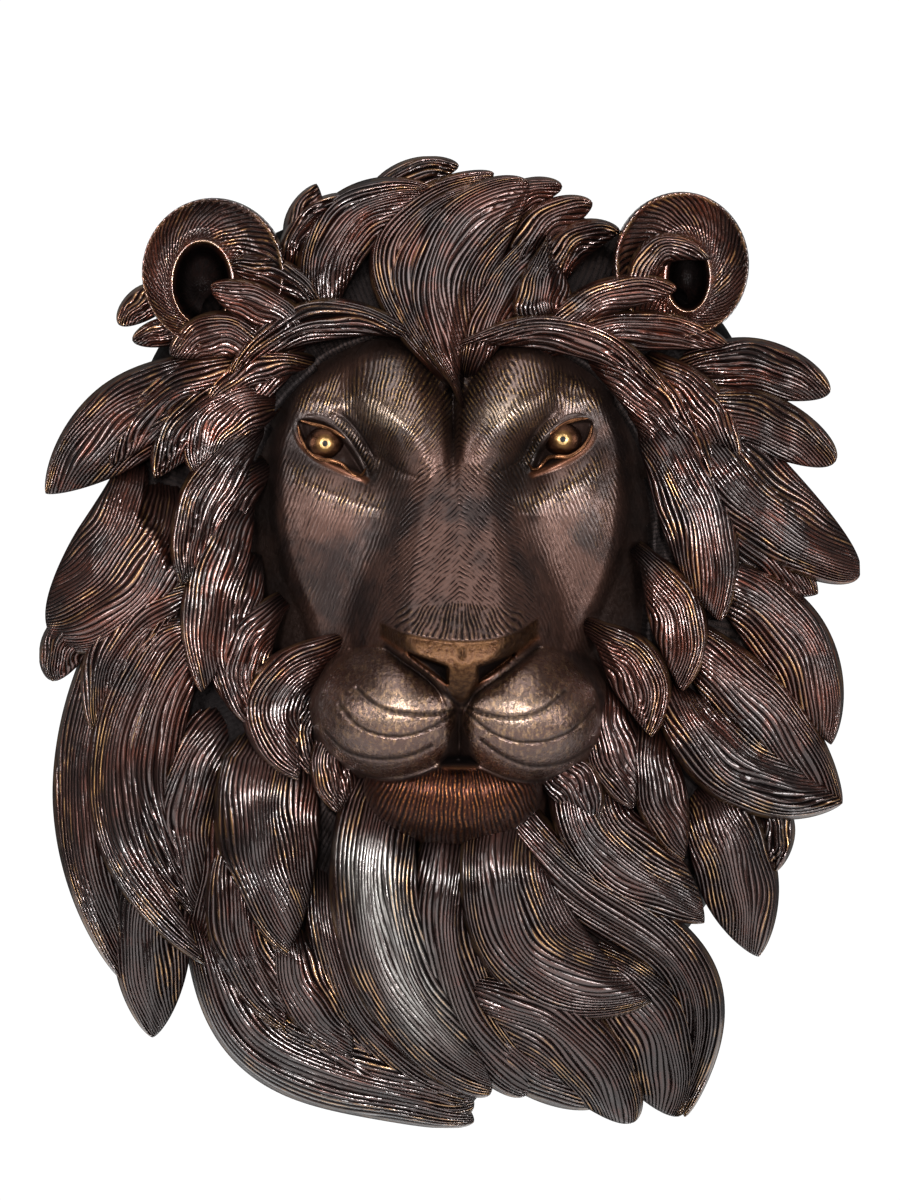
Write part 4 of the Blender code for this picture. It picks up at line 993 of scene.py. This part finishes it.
def cut_eyes(column, row, face):
    """The eyes: an almond opening between raised lids, lashes and a fold over it, a socket round it
    where shade is painted, and bags under it."""
    socket, eyes, lashes, combed, bags = np.zeros((5, *column.shape))
    for eye in EYES:
        along, above = eye_frame(column, row, eye)
        top, bottom = lid_lines(along)
        over, below = above - top, bottom - above
        inside = soft(-np.maximum(over, below), -0.5, 3.5) * (along > -0.02) * (along < 1.02)
        eyes = np.maximum(eyes, inside)
        lids = (line(over - 3.5, 2.4) + line(below - 3.5, 2.4)) * band(along, -0.06, 0.12, 0.94, 1.08)
        fold = line(over - 16, 2.6) * band(along, 0.2, 0.4, 0.8, 1.0)
        face["cut"] += LID_RISE * lids - EYE_DEPTH * inside - LID_FOLD_DEPTH * fold
        # Painted shade in the fold and in the eye's opening.
        darken(face, np.maximum(0.7 * fold, 0.8 * inside))
        lower = band(below, -1, 0.5, 5, 8) * band(along, 0.02, 0.2, 1.0, 1.08)
        face["wings"] = np.maximum(face["wings"], np.maximum(0.2 * inside, 0.75 * lower))
        lash = band(over, 4, 6, 11, 13.5) * band(along, 0.24, 0.4, 0.95, 1.05)
        lashes = np.maximum(lashes, lash)
        combed = np.where(lash > 0, along * EYE_LENGTH / LASH_PITCH + above * 0.07, combed)
        ring = soft(np.maximum(over, below), 13, 4) * band(along, -0.15, 0.0, 1.0, 1.12)
        socket = np.maximum(socket, ring)
    for rise, places in EYE_BAGS:
        distance, along = from_trail(column, row, places)
        bag = line(distance, 11) * soft(along, 0, 24)
        face["cut"] += rise * bag
        bags = np.maximum(bags, bag * (rise / EYE_BAGS[0][0]) ** 3)
    face.update(socket=socket, eyes=eyes, lashes=lashes, combed=combed, bags=bags)


def lay_strokes(column, row, face):
    """Strokes of a chisel in five families, each with its phase = distance across / pitch and the
    share of each place that it has."""
    x = column - NOSE_MIDDLE
    side = np.abs(x)

    def slanted(angle, pitch):
        return (side - (row - 400) * math.tan(angle)) * math.cos(angle) / pitch

    def fanned(across, down, reach, pitch):
        return np.arctan2(across, down) * reach / pitch

    jitter = 0.34 * waver(column / 16, row / 22, 2.2) + 0.18 * waver(column / 7 + 3, row / 24, 5.2)
    face["steep"] = np.where(face["lashes"] > 0, face["combed"], slanted(0.36, 3.7) + jitter)
    face["rays"] = fanned(side - 110, 540 - row, 150, 3.8) + 1.2 * jitter
    face["chevron"] = slanted(0.87, 3.8) + jitter
    face["spray"] = fanned(x, row - 566, 62, 4.6) + 1.3 * jitter
    face["comb"] = fanned(column - 455, row - 640, 150, 3.9) + 1.2 * jitter

    knots = np.array(BRIDGE)
    from_bridge = side / smooth_curve(row, knots[:, 0], knots[:, 2])
    fur = 1 - face["leather"]
    on_chin = 1 - soft(np.hypot((column - 452) / 88, (row - 786) / 56), 0.9, 1.03)
    face["on_lobes"] = (1 - soft(row, 456, 464)) * (1 - soft(side, 112, 120)) * (face["lashes"] == 0)
    face["on_bridge"] = (1 - soft(from_bridge, 0.98, 1.14)) * soft(row, 460, 470) * fur
    face["on_spray"] = soft(row - 0.1 * side, 598, 605) * (1 - soft(side, 60, 66)) * fur
    face["chin"] = on_chin * soft(face["under_pads"], 0, 3) * (1 - face["pad"])


def chase_fur(column, row, face):
    """How strong the strokes are at each place, and the strokes themselves."""
    chin, bags = face["chin"], face["bags"]
    worn = hills(column, row, BROW_LOBES + EYE_BROWS) + bags
    strength = 0.45 + 0.45 * np.clip(worn, 0, 1) + 0.3 * (face["on_bridge"] + face["on_spray"])
    strength *= 0.8 + 0.4 * waver(column / 6.5 + row / 19, row / 8, 7.7)
    strength = np.where(chin > 0.2, 0.8 + 0.45 * waver(column / 5, row / 5, 1.1), strength)
    strength *= (1 - 0.85 * channel_share(column, row)) * (1 - face["dark"])
    strength *= 1 - np.clip(np.maximum(face["bald"] - chin, 0) + face["socket"] + face["eyes"], 0, 1)
    face["strength"] = np.clip(np.maximum(strength, 0.95 * face["lashes"]), 0, 1.2)
    # Painted shade in the cleft between the brow lobes.
    darken(face, 0.9 * line(column - 453, 3.2) * band(row, 372, 392, 455, 474))
    stroke = np.cos(2 * math.pi * face["steep"])
    for family, where in FAMILIES.items():
        stroke += (np.cos(2 * math.pi * face[family]) - stroke) * face[where]
    face["cut"] += FUR_RISE * stroke * face["strength"]


def wear(column, row, face):
    """Where the finish is rubbed to gold or gilded, where highlights are painted on the pads and in spots,
    and where shade is painted in the recesses.
    """
    gold = 0.9 * hills(column, row, BROW_LOBES) + 0.8 * hills(column, row, EYE_BROWS)
    gold += 0.6 * face["bags"] * soft(row, 456, 480) + 0.12 * face["on_spray"] + 0.35 * face["chin"]
    # Painted shade in the channel round the face, the eye sockets and the inner corners of the eyes.
    recess_shade = 0.9 * channel_share(column, row) + 0.6 * face["socket"] + 0.8 * hills(column, row, SHADED_INNER_CORNERS)
    face["gold"] = np.clip(np.clip(gold, 0, 1) + hills(column, row, WORN_CHEEKS), 0, 1)
    # Gilt on the pads, brighter where a highlight is painted at their upper middle.
    face["gilt_and_highlight"] = face["pad"] * (0.3 + 0.7 * np.minimum(hills(column, row, PAD_HIGHLIGHTS), 1))
    # Highlights painted as spots of pale metal.
    face["painted_highlight"] = hills(column, row, HIGHLIGHT_SPOTS)
    face["recess_shade"] = np.clip(recess_shade, 0, 1)


def face_detail(column, row):
    """Everything cut into the form: height to add, and the attributes that the finish reads."""
    face = {"cut": np.zeros(column.shape), "dark": np.zeros(column.shape)}
    for work in (cut_nose, cut_pads, cut_mouth, cut_eyes, lay_strokes, chase_fur, wear):
        work(column, row, face)
    return face["cut"], {key: face[key] for key in FACE_LOOKS}


def face_body():
    """A dense grid over the face, its edges buried under the mane, closed behind by a thin inner skin."""
    wide, tall = 281, 341
    middle_row, half_tall, half_wide = 595, 271, FACE[2] * 1.04
    lowest, over_roof = 56, 16
    across, down = np.linspace(-1, 1, wide), np.linspace(-1, 1, tall)
    across, down = 0.78 * across + 0.22 * across ** 3, 0.94 * down + 0.06 * down ** 3
    column, row = np.meshgrid(FACE[0] + half_wide * across, middle_row + half_tall * down)
    cut, looks = face_detail(column, row)
    height = over_hollow(column, row, np.maximum(face_form(column, row) + cut, lowest), over_roof)
    front = to_world(column, row, height).reshape(-1, 3)
    number = np.arange(wide * tall).reshape(tall, wide)
    quads = np.stack([number[:-1, :-1], number[1:, :-1], number[1:, 1:], number[:-1, 1:]], -1).reshape(-1, 4)

    # The inner skin starts with one point for every tenth point of the grid's edge.
    rim = np.concatenate([number[0, :-1], number[:-1, -1], number[-1, :0:-1], number[:0:-1, 0]])
    every, skin_rings, last_ring, skin_edge, behind = 10, 12, 0.06, 44, 12
    corner = rim[::every]
    middle = np.array([FACE[0], 600.0])
    flat = np.stack([column.ravel()[corner], row.ravel()[corner]], -1)
    rings = []
    for share in np.linspace(1, last_ring, skin_rings):
        x, y = (middle + (flat - middle) * share).T
        rings.append(to_world(x, y, over_hollow(x, y, skin_edge * (share == 1), behind)))
    centre = to_world(middle[:1], middle[1:], roof_height(middle[:1], middle[1:]) + behind)
    points = np.concatenate([front, *rings, centre])
    start, around = len(front), len(corner)
    seam = np.stack([rim, np.roll(rim, -1), start + np.arange(len(rim)) // every], -1)
    turn = np.arange(around)
    after = (turn + 1) % around
    rest = np.stack([rim[(turn + 1) * every % len(rim)], start + after, start + turn], -1)
    inner = tube_faces(skin_rings, around) + start
    triangles = np.concatenate([seam, rest, fan(turn + start + (skin_rings - 1) * around, len(points) - 1)])
    extra = np.zeros(len(points) - start)
    looks = {key: np.concatenate([value.ravel(), extra]) for key, value in looks.items()}
    return points, np.concatenate([quads, inner]), triangles, looks


def face_material():
    """Satin brown patina with dark strokes, polished where hands and cloths reach; brass flecks show
    on the crests of the brows, the pads and the chin, and the nose is a warm golden brown. Highlights
    are painted on the brows and the pads, and shade in the creases and recesses."""
    black, shade_black = (0.005, 0.004, 0.004, 1), (0.008, 0.005, 0.004, 1)
    dark_brown, brown = (0.013, 0.0064, 0.0052, 1), (0.051, 0.0235, 0.0165, 1)
    chin_red, pad_brown = (0.027, 0.0050, 0.0024, 1), (0.060, 0.0240, 0.0160, 1)
    worn_brown, wing_copper = (0.070, 0.036, 0.024, 1), (0.16, 0.052, 0.020, 1)
    gilt_low, gilt_high = (0.055, 0.0252, 0.0165, 1), (0.26, 0.155, 0.083, 1)
    leather_low, leather_high = (0.026, 0.0106, 0.0040, 1), (0.057, 0.0268, 0.0108, 1)
    brass, chin_copper, highlight_metal = (0.30, 0.17, 0.055, 1), (0.36, 0.13, 0.038, 1), (0.40, 0.30, 0.22, 1)
    nodes = Nodes("face_patina")
    place = nodes.place()
    dark, gold, pad, leather, chin = (nodes.read(key) for key in ("dark", "gold", "pad", "leather", "chin"))
    names = ("gilt_and_highlight", "painted_highlight", "recess_shade", "wings", "strength")
    gilt_and_highlight, painted_highlight, recess_shade, wings, strength = (nodes.read(key) for key in names)

    def wave(phase):
        return nodes.math("COSINE", nodes.times(nodes.read(phase), 2 * math.pi))

    stroke = wave("steep")
    for family, where in FAMILIES.items():
        stroke = nodes.plus(stroke, nodes.times(nodes.less(wave(family), stroke), nodes.read(where)))
    dashes = nodes.ramp(nodes.noise(place, 240, 2), 0.36, 0.56, 0.55, 1.15)
    stroke = nodes.times(stroke, nodes.times(strength, dashes))
    cloud = nodes.noise(place, 22, 5, 0.62)
    mottle = nodes.noise(place, 330, 4, 0.65)
    fine = nodes.noise(place, 620, 3)
    apart = nodes.parts(place)
    hammered = nodes.noise(nodes.vector(apart["X"], 0.0, nodes.times(apart["Z"], 0.55)), 330, 3, 0.6)

    # From the patina up: the chin, the pads and their gilt with its painted highlight, the nose, worn places,
    # painted shade in the recesses, wings.
    colour = nodes.mix(nodes.ramp(cloud, 0.38, 0.62), dark_brown, brown)
    colour = nodes.mix(nodes.times(chin, 0.85), colour, chin_red)
    colour = nodes.mix(nodes.times(pad, 0.6), colour, pad_brown)
    gilt = nodes.mix(nodes.ramp(hammered, 0.48, 0.64), gilt_low, gilt_high)
    # The pads' gilt, brighter where their highlight is painted.
    colour = nodes.mix(nodes.times(gilt_and_highlight, 0.75), colour, gilt)
    hide = nodes.mix(nodes.ramp(mottle, 0.4, 0.62), leather_low, leather_high)
    colour = nodes.mix(nodes.times(leather, 0.9), colour, hide)
    colour = nodes.mix(nodes.times(gold, 0.3), colour, worn_brown)
    # Painted shade in the recesses: the channel, the eye sockets and the inner corners.
    colour = nodes.mix(nodes.times(recess_shade, 0.8), colour, shade_black)
    colour = nodes.mix(nodes.times(wings, 0.6), colour, wing_copper)

    # Bare brass on the crests of the strokes, painted highlight spots, and black in every groove, patina and
    # painted shade, and in the creases and openings, painted shade.
    flecks = nodes.times(nodes.times(gilt_and_highlight, nodes.ramp(mottle, 0.52, 0.68)), nodes.ramp(cloud, 0.3, 0.6))
    crests = nodes.times(nodes.times(nodes.ramp(stroke, 0.2, 0.75), nodes.ramp(fine, 0.42, 0.58)), gold)
    bare = nodes.most(nodes.times(flecks, 0.5), crests)
    colour = nodes.mix(bare, colour, nodes.mix(chin, brass, chin_copper))
    # Painted highlights on the brow lobes and the pads.
    highlight_spots = nodes.times(painted_highlight, nodes.ramp(fine, 0.34, 0.54, 0.35, 1.0))
    colour = nodes.mix(nodes.times(highlight_spots, 0.42), colour, highlight_metal)
    shade = nodes.most(nodes.times(nodes.ramp(stroke, -0.1, -0.72), 0.9), nodes.times(dark, 0.97))
    colour = nodes.mix(shade, colour, black)

    polished = nodes.most(nodes.most(pad, gold), nodes.times(leather, 0.1))
    rough = nodes.plus(nodes.ramp(mottle, 0.3, 0.7, 0.36, 0.52), nodes.ramp(shade, 0, 1, 0, 0.3))
    rough = nodes.less(rough, nodes.times(polished, 0.19))
    dents = nodes.most(nodes.times(nodes.most(pad, leather), 0.8), 0.3)
    normal = nodes.bump(mottle, 0.0009, dents, nodes.bump(stroke, 0.0003, 0.8))
    bright = nodes.most(nodes.most(chin, leather), nodes.times(pad, 0.35))
    waxed = nodes.ramp(nodes.less(polished, nodes.times(bright, 0.5)), 0, 1, 0.08, 0.62)
    waxed = nodes.times(waxed, nodes.ramp(shade, 0, 0.9, 1.0, 0.1))
    nodes.set(Specular_IOR_Level=0.7, Coat_Roughness=0.22, Coat_Normal=normal, Coat_Weight=waxed)
    nodes.set(Metallic=nodes.ramp(nodes.most(shade, bright), 0, 1, 0.8, 1.0))
    return nodes.set(Base_Color=colour, Roughness=rough, Normal=normal)


piece("face", [face_body()], face_material())


# The eyes: polished brass balls in the casting, with a drilled pupil, behind raised lid rims. The pupil is a
# black disc painted on the ball for the shade in its hole.
# Each ball: column, row, half width and half height, then how deep it is and how far it lies back.
PUPILS = {"left": (327, 446, 20, 17), "right": (561, 442, 19, 16.5)}
BALL_DEEP, BALL_BACK = 15, 13.5
# The rims of each eye's lids, the upper and then the lower one, their radius and how far they stand out.
LIDS = {
    "left": (((303, 423), (312, 426), (324, 429), (336, 434), (347, 441)),
             ((300, 428), (304, 443), (312, 455), (323, 462), (334, 463), (343, 466), (350, 473), (357, 478),
              (363, 477), (367, 471))),
    "right": (((586, 421), (576, 422), (566, 425), (557, 430), (548, 437)),
              ((590, 428), (586, 442), (577, 453), (566, 459), (555, 459), (547, 460), (541, 466), (536, 471),
               (531, 471), (528, 466))),
}
LID_RADIUS = 2.1
LID_STANDS = (1.5, 2.5)


def eyeball_body(eye):
    """A flattened ball, longitude round and latitude from front to back, with its distance to the pupil."""
    column, row, wide, tall = PUPILS[eye]
    around, down, nearly = 48, 28, 0.04
    turns = np.linspace(0, 2 * math.pi, around, endpoint=False)
    turn, tilt = np.meshgrid(turns, np.linspace(nearly, math.pi - nearly, down))
    height = face_form(np.array([float(column)]), np.array([float(row)])) - BALL_BACK
    x, y = wide * np.sin(tilt) * np.cos(turn), tall * np.sin(tilt) * np.sin(turn)
    points = to_world(column + x, row + y, height + BALL_DEEP * np.cos(tilt)).reshape(-1, 3)
    poles = to_world(np.full(2, column), np.full(2, row), height + BALL_DEEP * np.array([1, -1]))
    away = np.concatenate([np.hypot(x, y).ravel(), np.zeros(2)])
    return np.concatenate([points, poles]), *closed_tube(down, around), {"away": away}


def lid_body(eye, which):
    """A rim swept along the edge of the lid, thin at both ends, lying on the face."""
    rings, around = 56, 12
    places, gone = trail(LIDS[eye][which], rings)
    share = np.clip(gone / gone[-1], 0.02, 0.98)
    radius = LID_RADIUS * STEP * (0.35 + 0.65 * np.sin(math.pi * share) ** 0.6)
    column, row = places.T
    path = to_world(column, row, face_form(column, row) + LID_STANDS[which])
    heading = np.gradient(path, axis=0)
    heading /= np.linalg.norm(heading, axis=1, keepdims=True)
    sideways = np.cross(heading, np.array([0.0, -1, 0]))
    sideways /= np.linalg.norm(sideways, axis=1, keepdims=True)
    outward = np.cross(sideways, heading)
    turn = np.linspace(0, 2 * math.pi, around, endpoint=False)[:, None]
    ring = sideways[:, None] * np.cos(turn) + outward[:, None] * np.sin(turn)
    points = (path[:, None] + ring * radius[:, None, None]).reshape(-1, 3)
    return np.concatenate([points, path[[0, -1]]]), *closed_tube(rings, around), {"away": 0.0}


def eyeball_material():
    """Bare polished brass, bright round a black pupil painted for the shade in its hole, browner toward the
    lids, and with a painted shadow at its edge under them.
    """
    black, bright_ring, shadow = (0.003, 0.003, 0.003, 1), (0.28, 0.175, 0.070, 1), (0.012, 0.0045, 0.0025, 1)
    gold_brown, red_brown = (0.088, 0.043, 0.013, 1), (0.030, 0.0105, 0.004, 1)
    nodes = Nodes("eye_brass")
    away = nodes.read("away")
    cloud = nodes.noise(nodes.place(), 300, 3)
    colour = nodes.mix(nodes.ramp(away, 5.5, 10.5), gold_brown, red_brown)
    # Painted shadow at the ball's edge under the lids, and the pupil painted black as the shade in its hole.
    for low, high, next_colour in ((13.0, 15.5, shadow), (6.0, 4.8, bright_ring), (3.4, 2.6, black)):
        colour = nodes.mix(nodes.ramp(away, low, high), colour, next_colour)
    return nodes.set(Base_Color=colour, Metallic=0.9,
                     Roughness=nodes.ramp(cloud, 0.3, 0.7, 0.30, 0.44), Normal=nodes.bump(cloud, 0.0004))


def lid_material():
    """Copper-coloured brass, rubbed along the rims of the lids."""
    nodes = Nodes("lid_copper")
    cloud = nodes.noise(nodes.place(), 220, 3)
    colour = nodes.mix(nodes.ramp(cloud, 0.35, 0.65), (0.055, 0.020, 0.008, 1), (0.12, 0.050, 0.020, 1))
    return nodes.set(Base_Color=colour, Metallic=0.85, Roughness=nodes.ramp(cloud, 0.3, 0.7, 0.2, 0.34),
                     Normal=nodes.bump(cloud, 0.0002))


piece("eyeballs", [eyeball_body(eye) for eye in EYES], eyeball_material())
piece("eyelids", [lid_body(eye, which) for eye in EYES for which in (0, 1)], lid_material())


# The ears: cupped shells cast with the head, a furry rolled rim that falls into a polished hollow,
# painted black as shade.
# Each ear: middle, half width and half height of the rim, then the same of the hollow, painted dark as shade.
EARS = {
    "left": ((216, 276), (71, 74), (204, 286), (28, 40)),
    "right": ((679, 268), (67, 72), (686, 280), (20, 33)),
}
# From the back of the ear over the rim into the hollow: 1 is on the rim's outline and 0 on the
# hollow's, then the height from the wall.
EAR_SECTION = ((0.45, 18), (0.94, 44), (1.0, 80), (0.99, 98), (0.955, 106), (0.91, 102), (0.74, 91),
               (0.5, 79), (0.3, 73), (0.14, 76), (0.05, 80), (0, 75), (-0.12, 58), (-0.4, 44), (-0.8, 38))
# Strokes round an ear, how deep they are, how far they slant, and the ear's own tone as a lock's.
EAR_STROKES, EAR_STROKE_DEPTH, EAR_SLANT, EAR_TONE = 58, 3.2, 8, 0.4


def ear_body(ear):
    """Rings from the back over the rim into the hollow, with strokes that slant across the fur."""
    rim_middle, rim_half, hollow_middle, hollow_half = (np.array(value, float) for value in EARS[ear])
    around, rings = 300, 90
    section = trail(EAR_SECTION, rings)[0]
    turn, share = np.meshgrid(np.linspace(0, 2 * math.pi, around, endpoint=False), section[:, 0])
    part, shrink = np.maximum(share, 0)[..., None], 1 + np.minimum(share, 0)[..., None]
    middle = hollow_middle * (1 - part) + rim_middle * part
    half = (hollow_half * (1 - part) + rim_half * part) * shrink
    inside = (np.arange(rings) > section[:, 1].argmax())[:, None] & np.ones(around, bool)
    slant = np.where(inside, 1 - share, share - 1) * (EAR_SLANT if ear == "left" else -EAR_SLANT)
    phase = turn * EAR_STROKES / (2 * math.pi) + slant + 0.3 * waver(turn * 4, share * 3, 3.0)
    fur = np.where(inside, band(share, 0.08, 0.3, 0.88, 0.94), soft(share, 0.5, 0.8) * 0.5)
    height = section[:, 1:2] - EAR_STROKE_DEPTH * (1 - np.abs(np.cos(math.pi * phase)) ** 0.7) * fur
    column = middle[..., 0] + half[..., 0] * np.cos(turn)
    row = middle[..., 1] + half[..., 1] * np.sin(turn)
    points = to_world(column, row, over_hollow(column, row, height, FRONT_GAP)).reshape(-1, 3)
    ends = np.stack([points[:around].mean(0), points[-around:].mean(0)])
    # Painted shade: black deep in the ear's hollow.
    hollow = np.where(inside, 1 - soft(share, -0.1, 0.03), 0)
    worn = np.where(inside, line(share - 0.95, 0.035) + 0.35 * line(share - 0.03, 0.035), 0)
    looks = {"strand": phase, "chased": fur, "painted_shade": hollow, "worn": worn, "along": share * 3,
             "lock": np.full(share.shape, EAR_TONE)}
    return np.concatenate([points, ends]), *closed_tube(rings, around), with_ends(looks)


piece("ears", [ear_body(ear) for ear in EARS], mane_finish)


# Studio: a plain pale floor under the head, a white surround and large soft boxes. It isn't part of
# the object, and only shows it in the light of the picture.


def floor_material():
    """Pale matt paint, a little uneven."""
    nodes = Nodes("pale_floor")
    nodes.set(Base_Color=(0.8, 0.8, 0.8, 1))
    return nodes.set(Roughness=nodes.ramp(nodes.noise(nodes.place(), 30), 0.3, 0.7, 0.7, 0.8))


floor_reach, floor_level = 1.1, -0.80
corners = [(x * floor_reach, y * floor_reach, floor_level) for x, y in ((-1, -1), (1, -1), (1, 1), (-1, 1))]
floor_mesh = bpy.data.meshes.new("floor")
floor_mesh.from_pydata(corners, [], [(0, 1, 2, 3)])
floor_mesh.materials.append(floor_material())
floor = bpy.data.objects.new("floor", floor_mesh)
bpy.context.scene.collection.objects.link(floor)

# Strength of the white surround in front of the head, beside it and behind it.
SURROUND_FRONT, SURROUND_SIDE, SURROUND_BEHIND = 0.04, 0.12, 1.06
surround = bpy.data.worlds.new("white_surround")
surround.use_nodes = True
tree = surround.node_tree
direction = tree.nodes.new("ShaderNodeTexCoord")
split = tree.nodes.new("ShaderNodeSeparateXYZ")
tree.links.new(direction.outputs["Generated"], split.inputs[0])
total = tree.nodes.new("ShaderNodeMath")
steps = ((-0.8, 0.15, SURROUND_FRONT, SURROUND_SIDE), (0.985, 0.995, 0, SURROUND_BEHIND - SURROUND_SIDE))
for number, sizes in enumerate(steps):
    fade = tree.nodes.new("ShaderNodeMapRange")
    fade.interpolation_type = "SMOOTHSTEP"
    for socket, value in zip(fade.inputs[1:5], sizes):
        socket.default_value = value
    tree.links.new(split.outputs["Y"], fade.inputs["Value"])
    tree.links.new(fade.outputs[0], total.inputs[number])
tree.links.new(total.outputs[0], tree.nodes["Background"].inputs["Strength"])
tree.nodes["Background"].inputs["Color"].default_value = (1, 1, 1, 1)
bpy.context.scene.world = surround
bpy.context.scene.view_settings.view_transform = "Standard"


def softbox(name, place, aim, width, tall, power):
    """A rectangular area light at a place, turned to a point."""
    lamp = bpy.data.lights.new(name, "AREA")
    lamp.shape = "RECTANGLE"
    lamp.size, lamp.size_y, lamp.energy = width, tall, power
    thing = bpy.data.objects.new(name, lamp)
    thing.location = place
    way = np.array(aim) - np.array(place)
    yaw = math.atan2(-way[0], way[1])
    pitch = math.atan2(way[2], math.hypot(way[0], way[1]))
    thing.rotation_euler = (math.pi / 2 + pitch, 0, yaw)
    bpy.context.scene.collection.objects.link(thing)


# Name, place, aim, width, height and watts of each box.
softbox("key_left", (-0.55, -2.5, 0.10), (0, 0, -0.3), 0.4, 0.6, 88)
softbox("key_right", (0.7, -2.5, -0.15), (0, 0, -0.3), 0.4, 0.6, 88)
softbox("top", (0, -0.8, 1.7), (0, 0, -0.2), 2.6, 1.4, 50)
softbox("side_left", (-1.9, -0.9, 0.1), (0, 0, -0.3), 0.4, 1.2, 30)
softbox("side_right", (1.9, -0.9, -0.1), (0, 0, -0.3), 0.4, 1.2, 30)

# Camera: straight on, far off, framing the picture's 900 by 1200 steps of the drawing sheet.
PICTURE_WIDE, PICTURE_TALL, CAMERA_AWAY, SENSOR = 900, 1200, 6.0, 36
lens = bpy.data.cameras.new("camera")
lens.sensor_fit = "VERTICAL"
lens.sensor_height = SENSOR
lens.lens = SENSOR * CAMERA_AWAY / (PICTURE_TALL * STEP)
camera = bpy.data.objects.new("camera", lens)
middle_x, middle_z = (PICTURE_WIDE / 2 - NOSE_COLUMN) * STEP, (MOUNT_ROW - PICTURE_TALL / 2) * STEP
camera.location = (middle_x, -CAMERA_AWAY, middle_z)
camera.rotation_euler = (math.pi / 2, 0, 0)
bpy.context.scene.collection.objects.link(camera)
bpy.context.scene.camera = camera
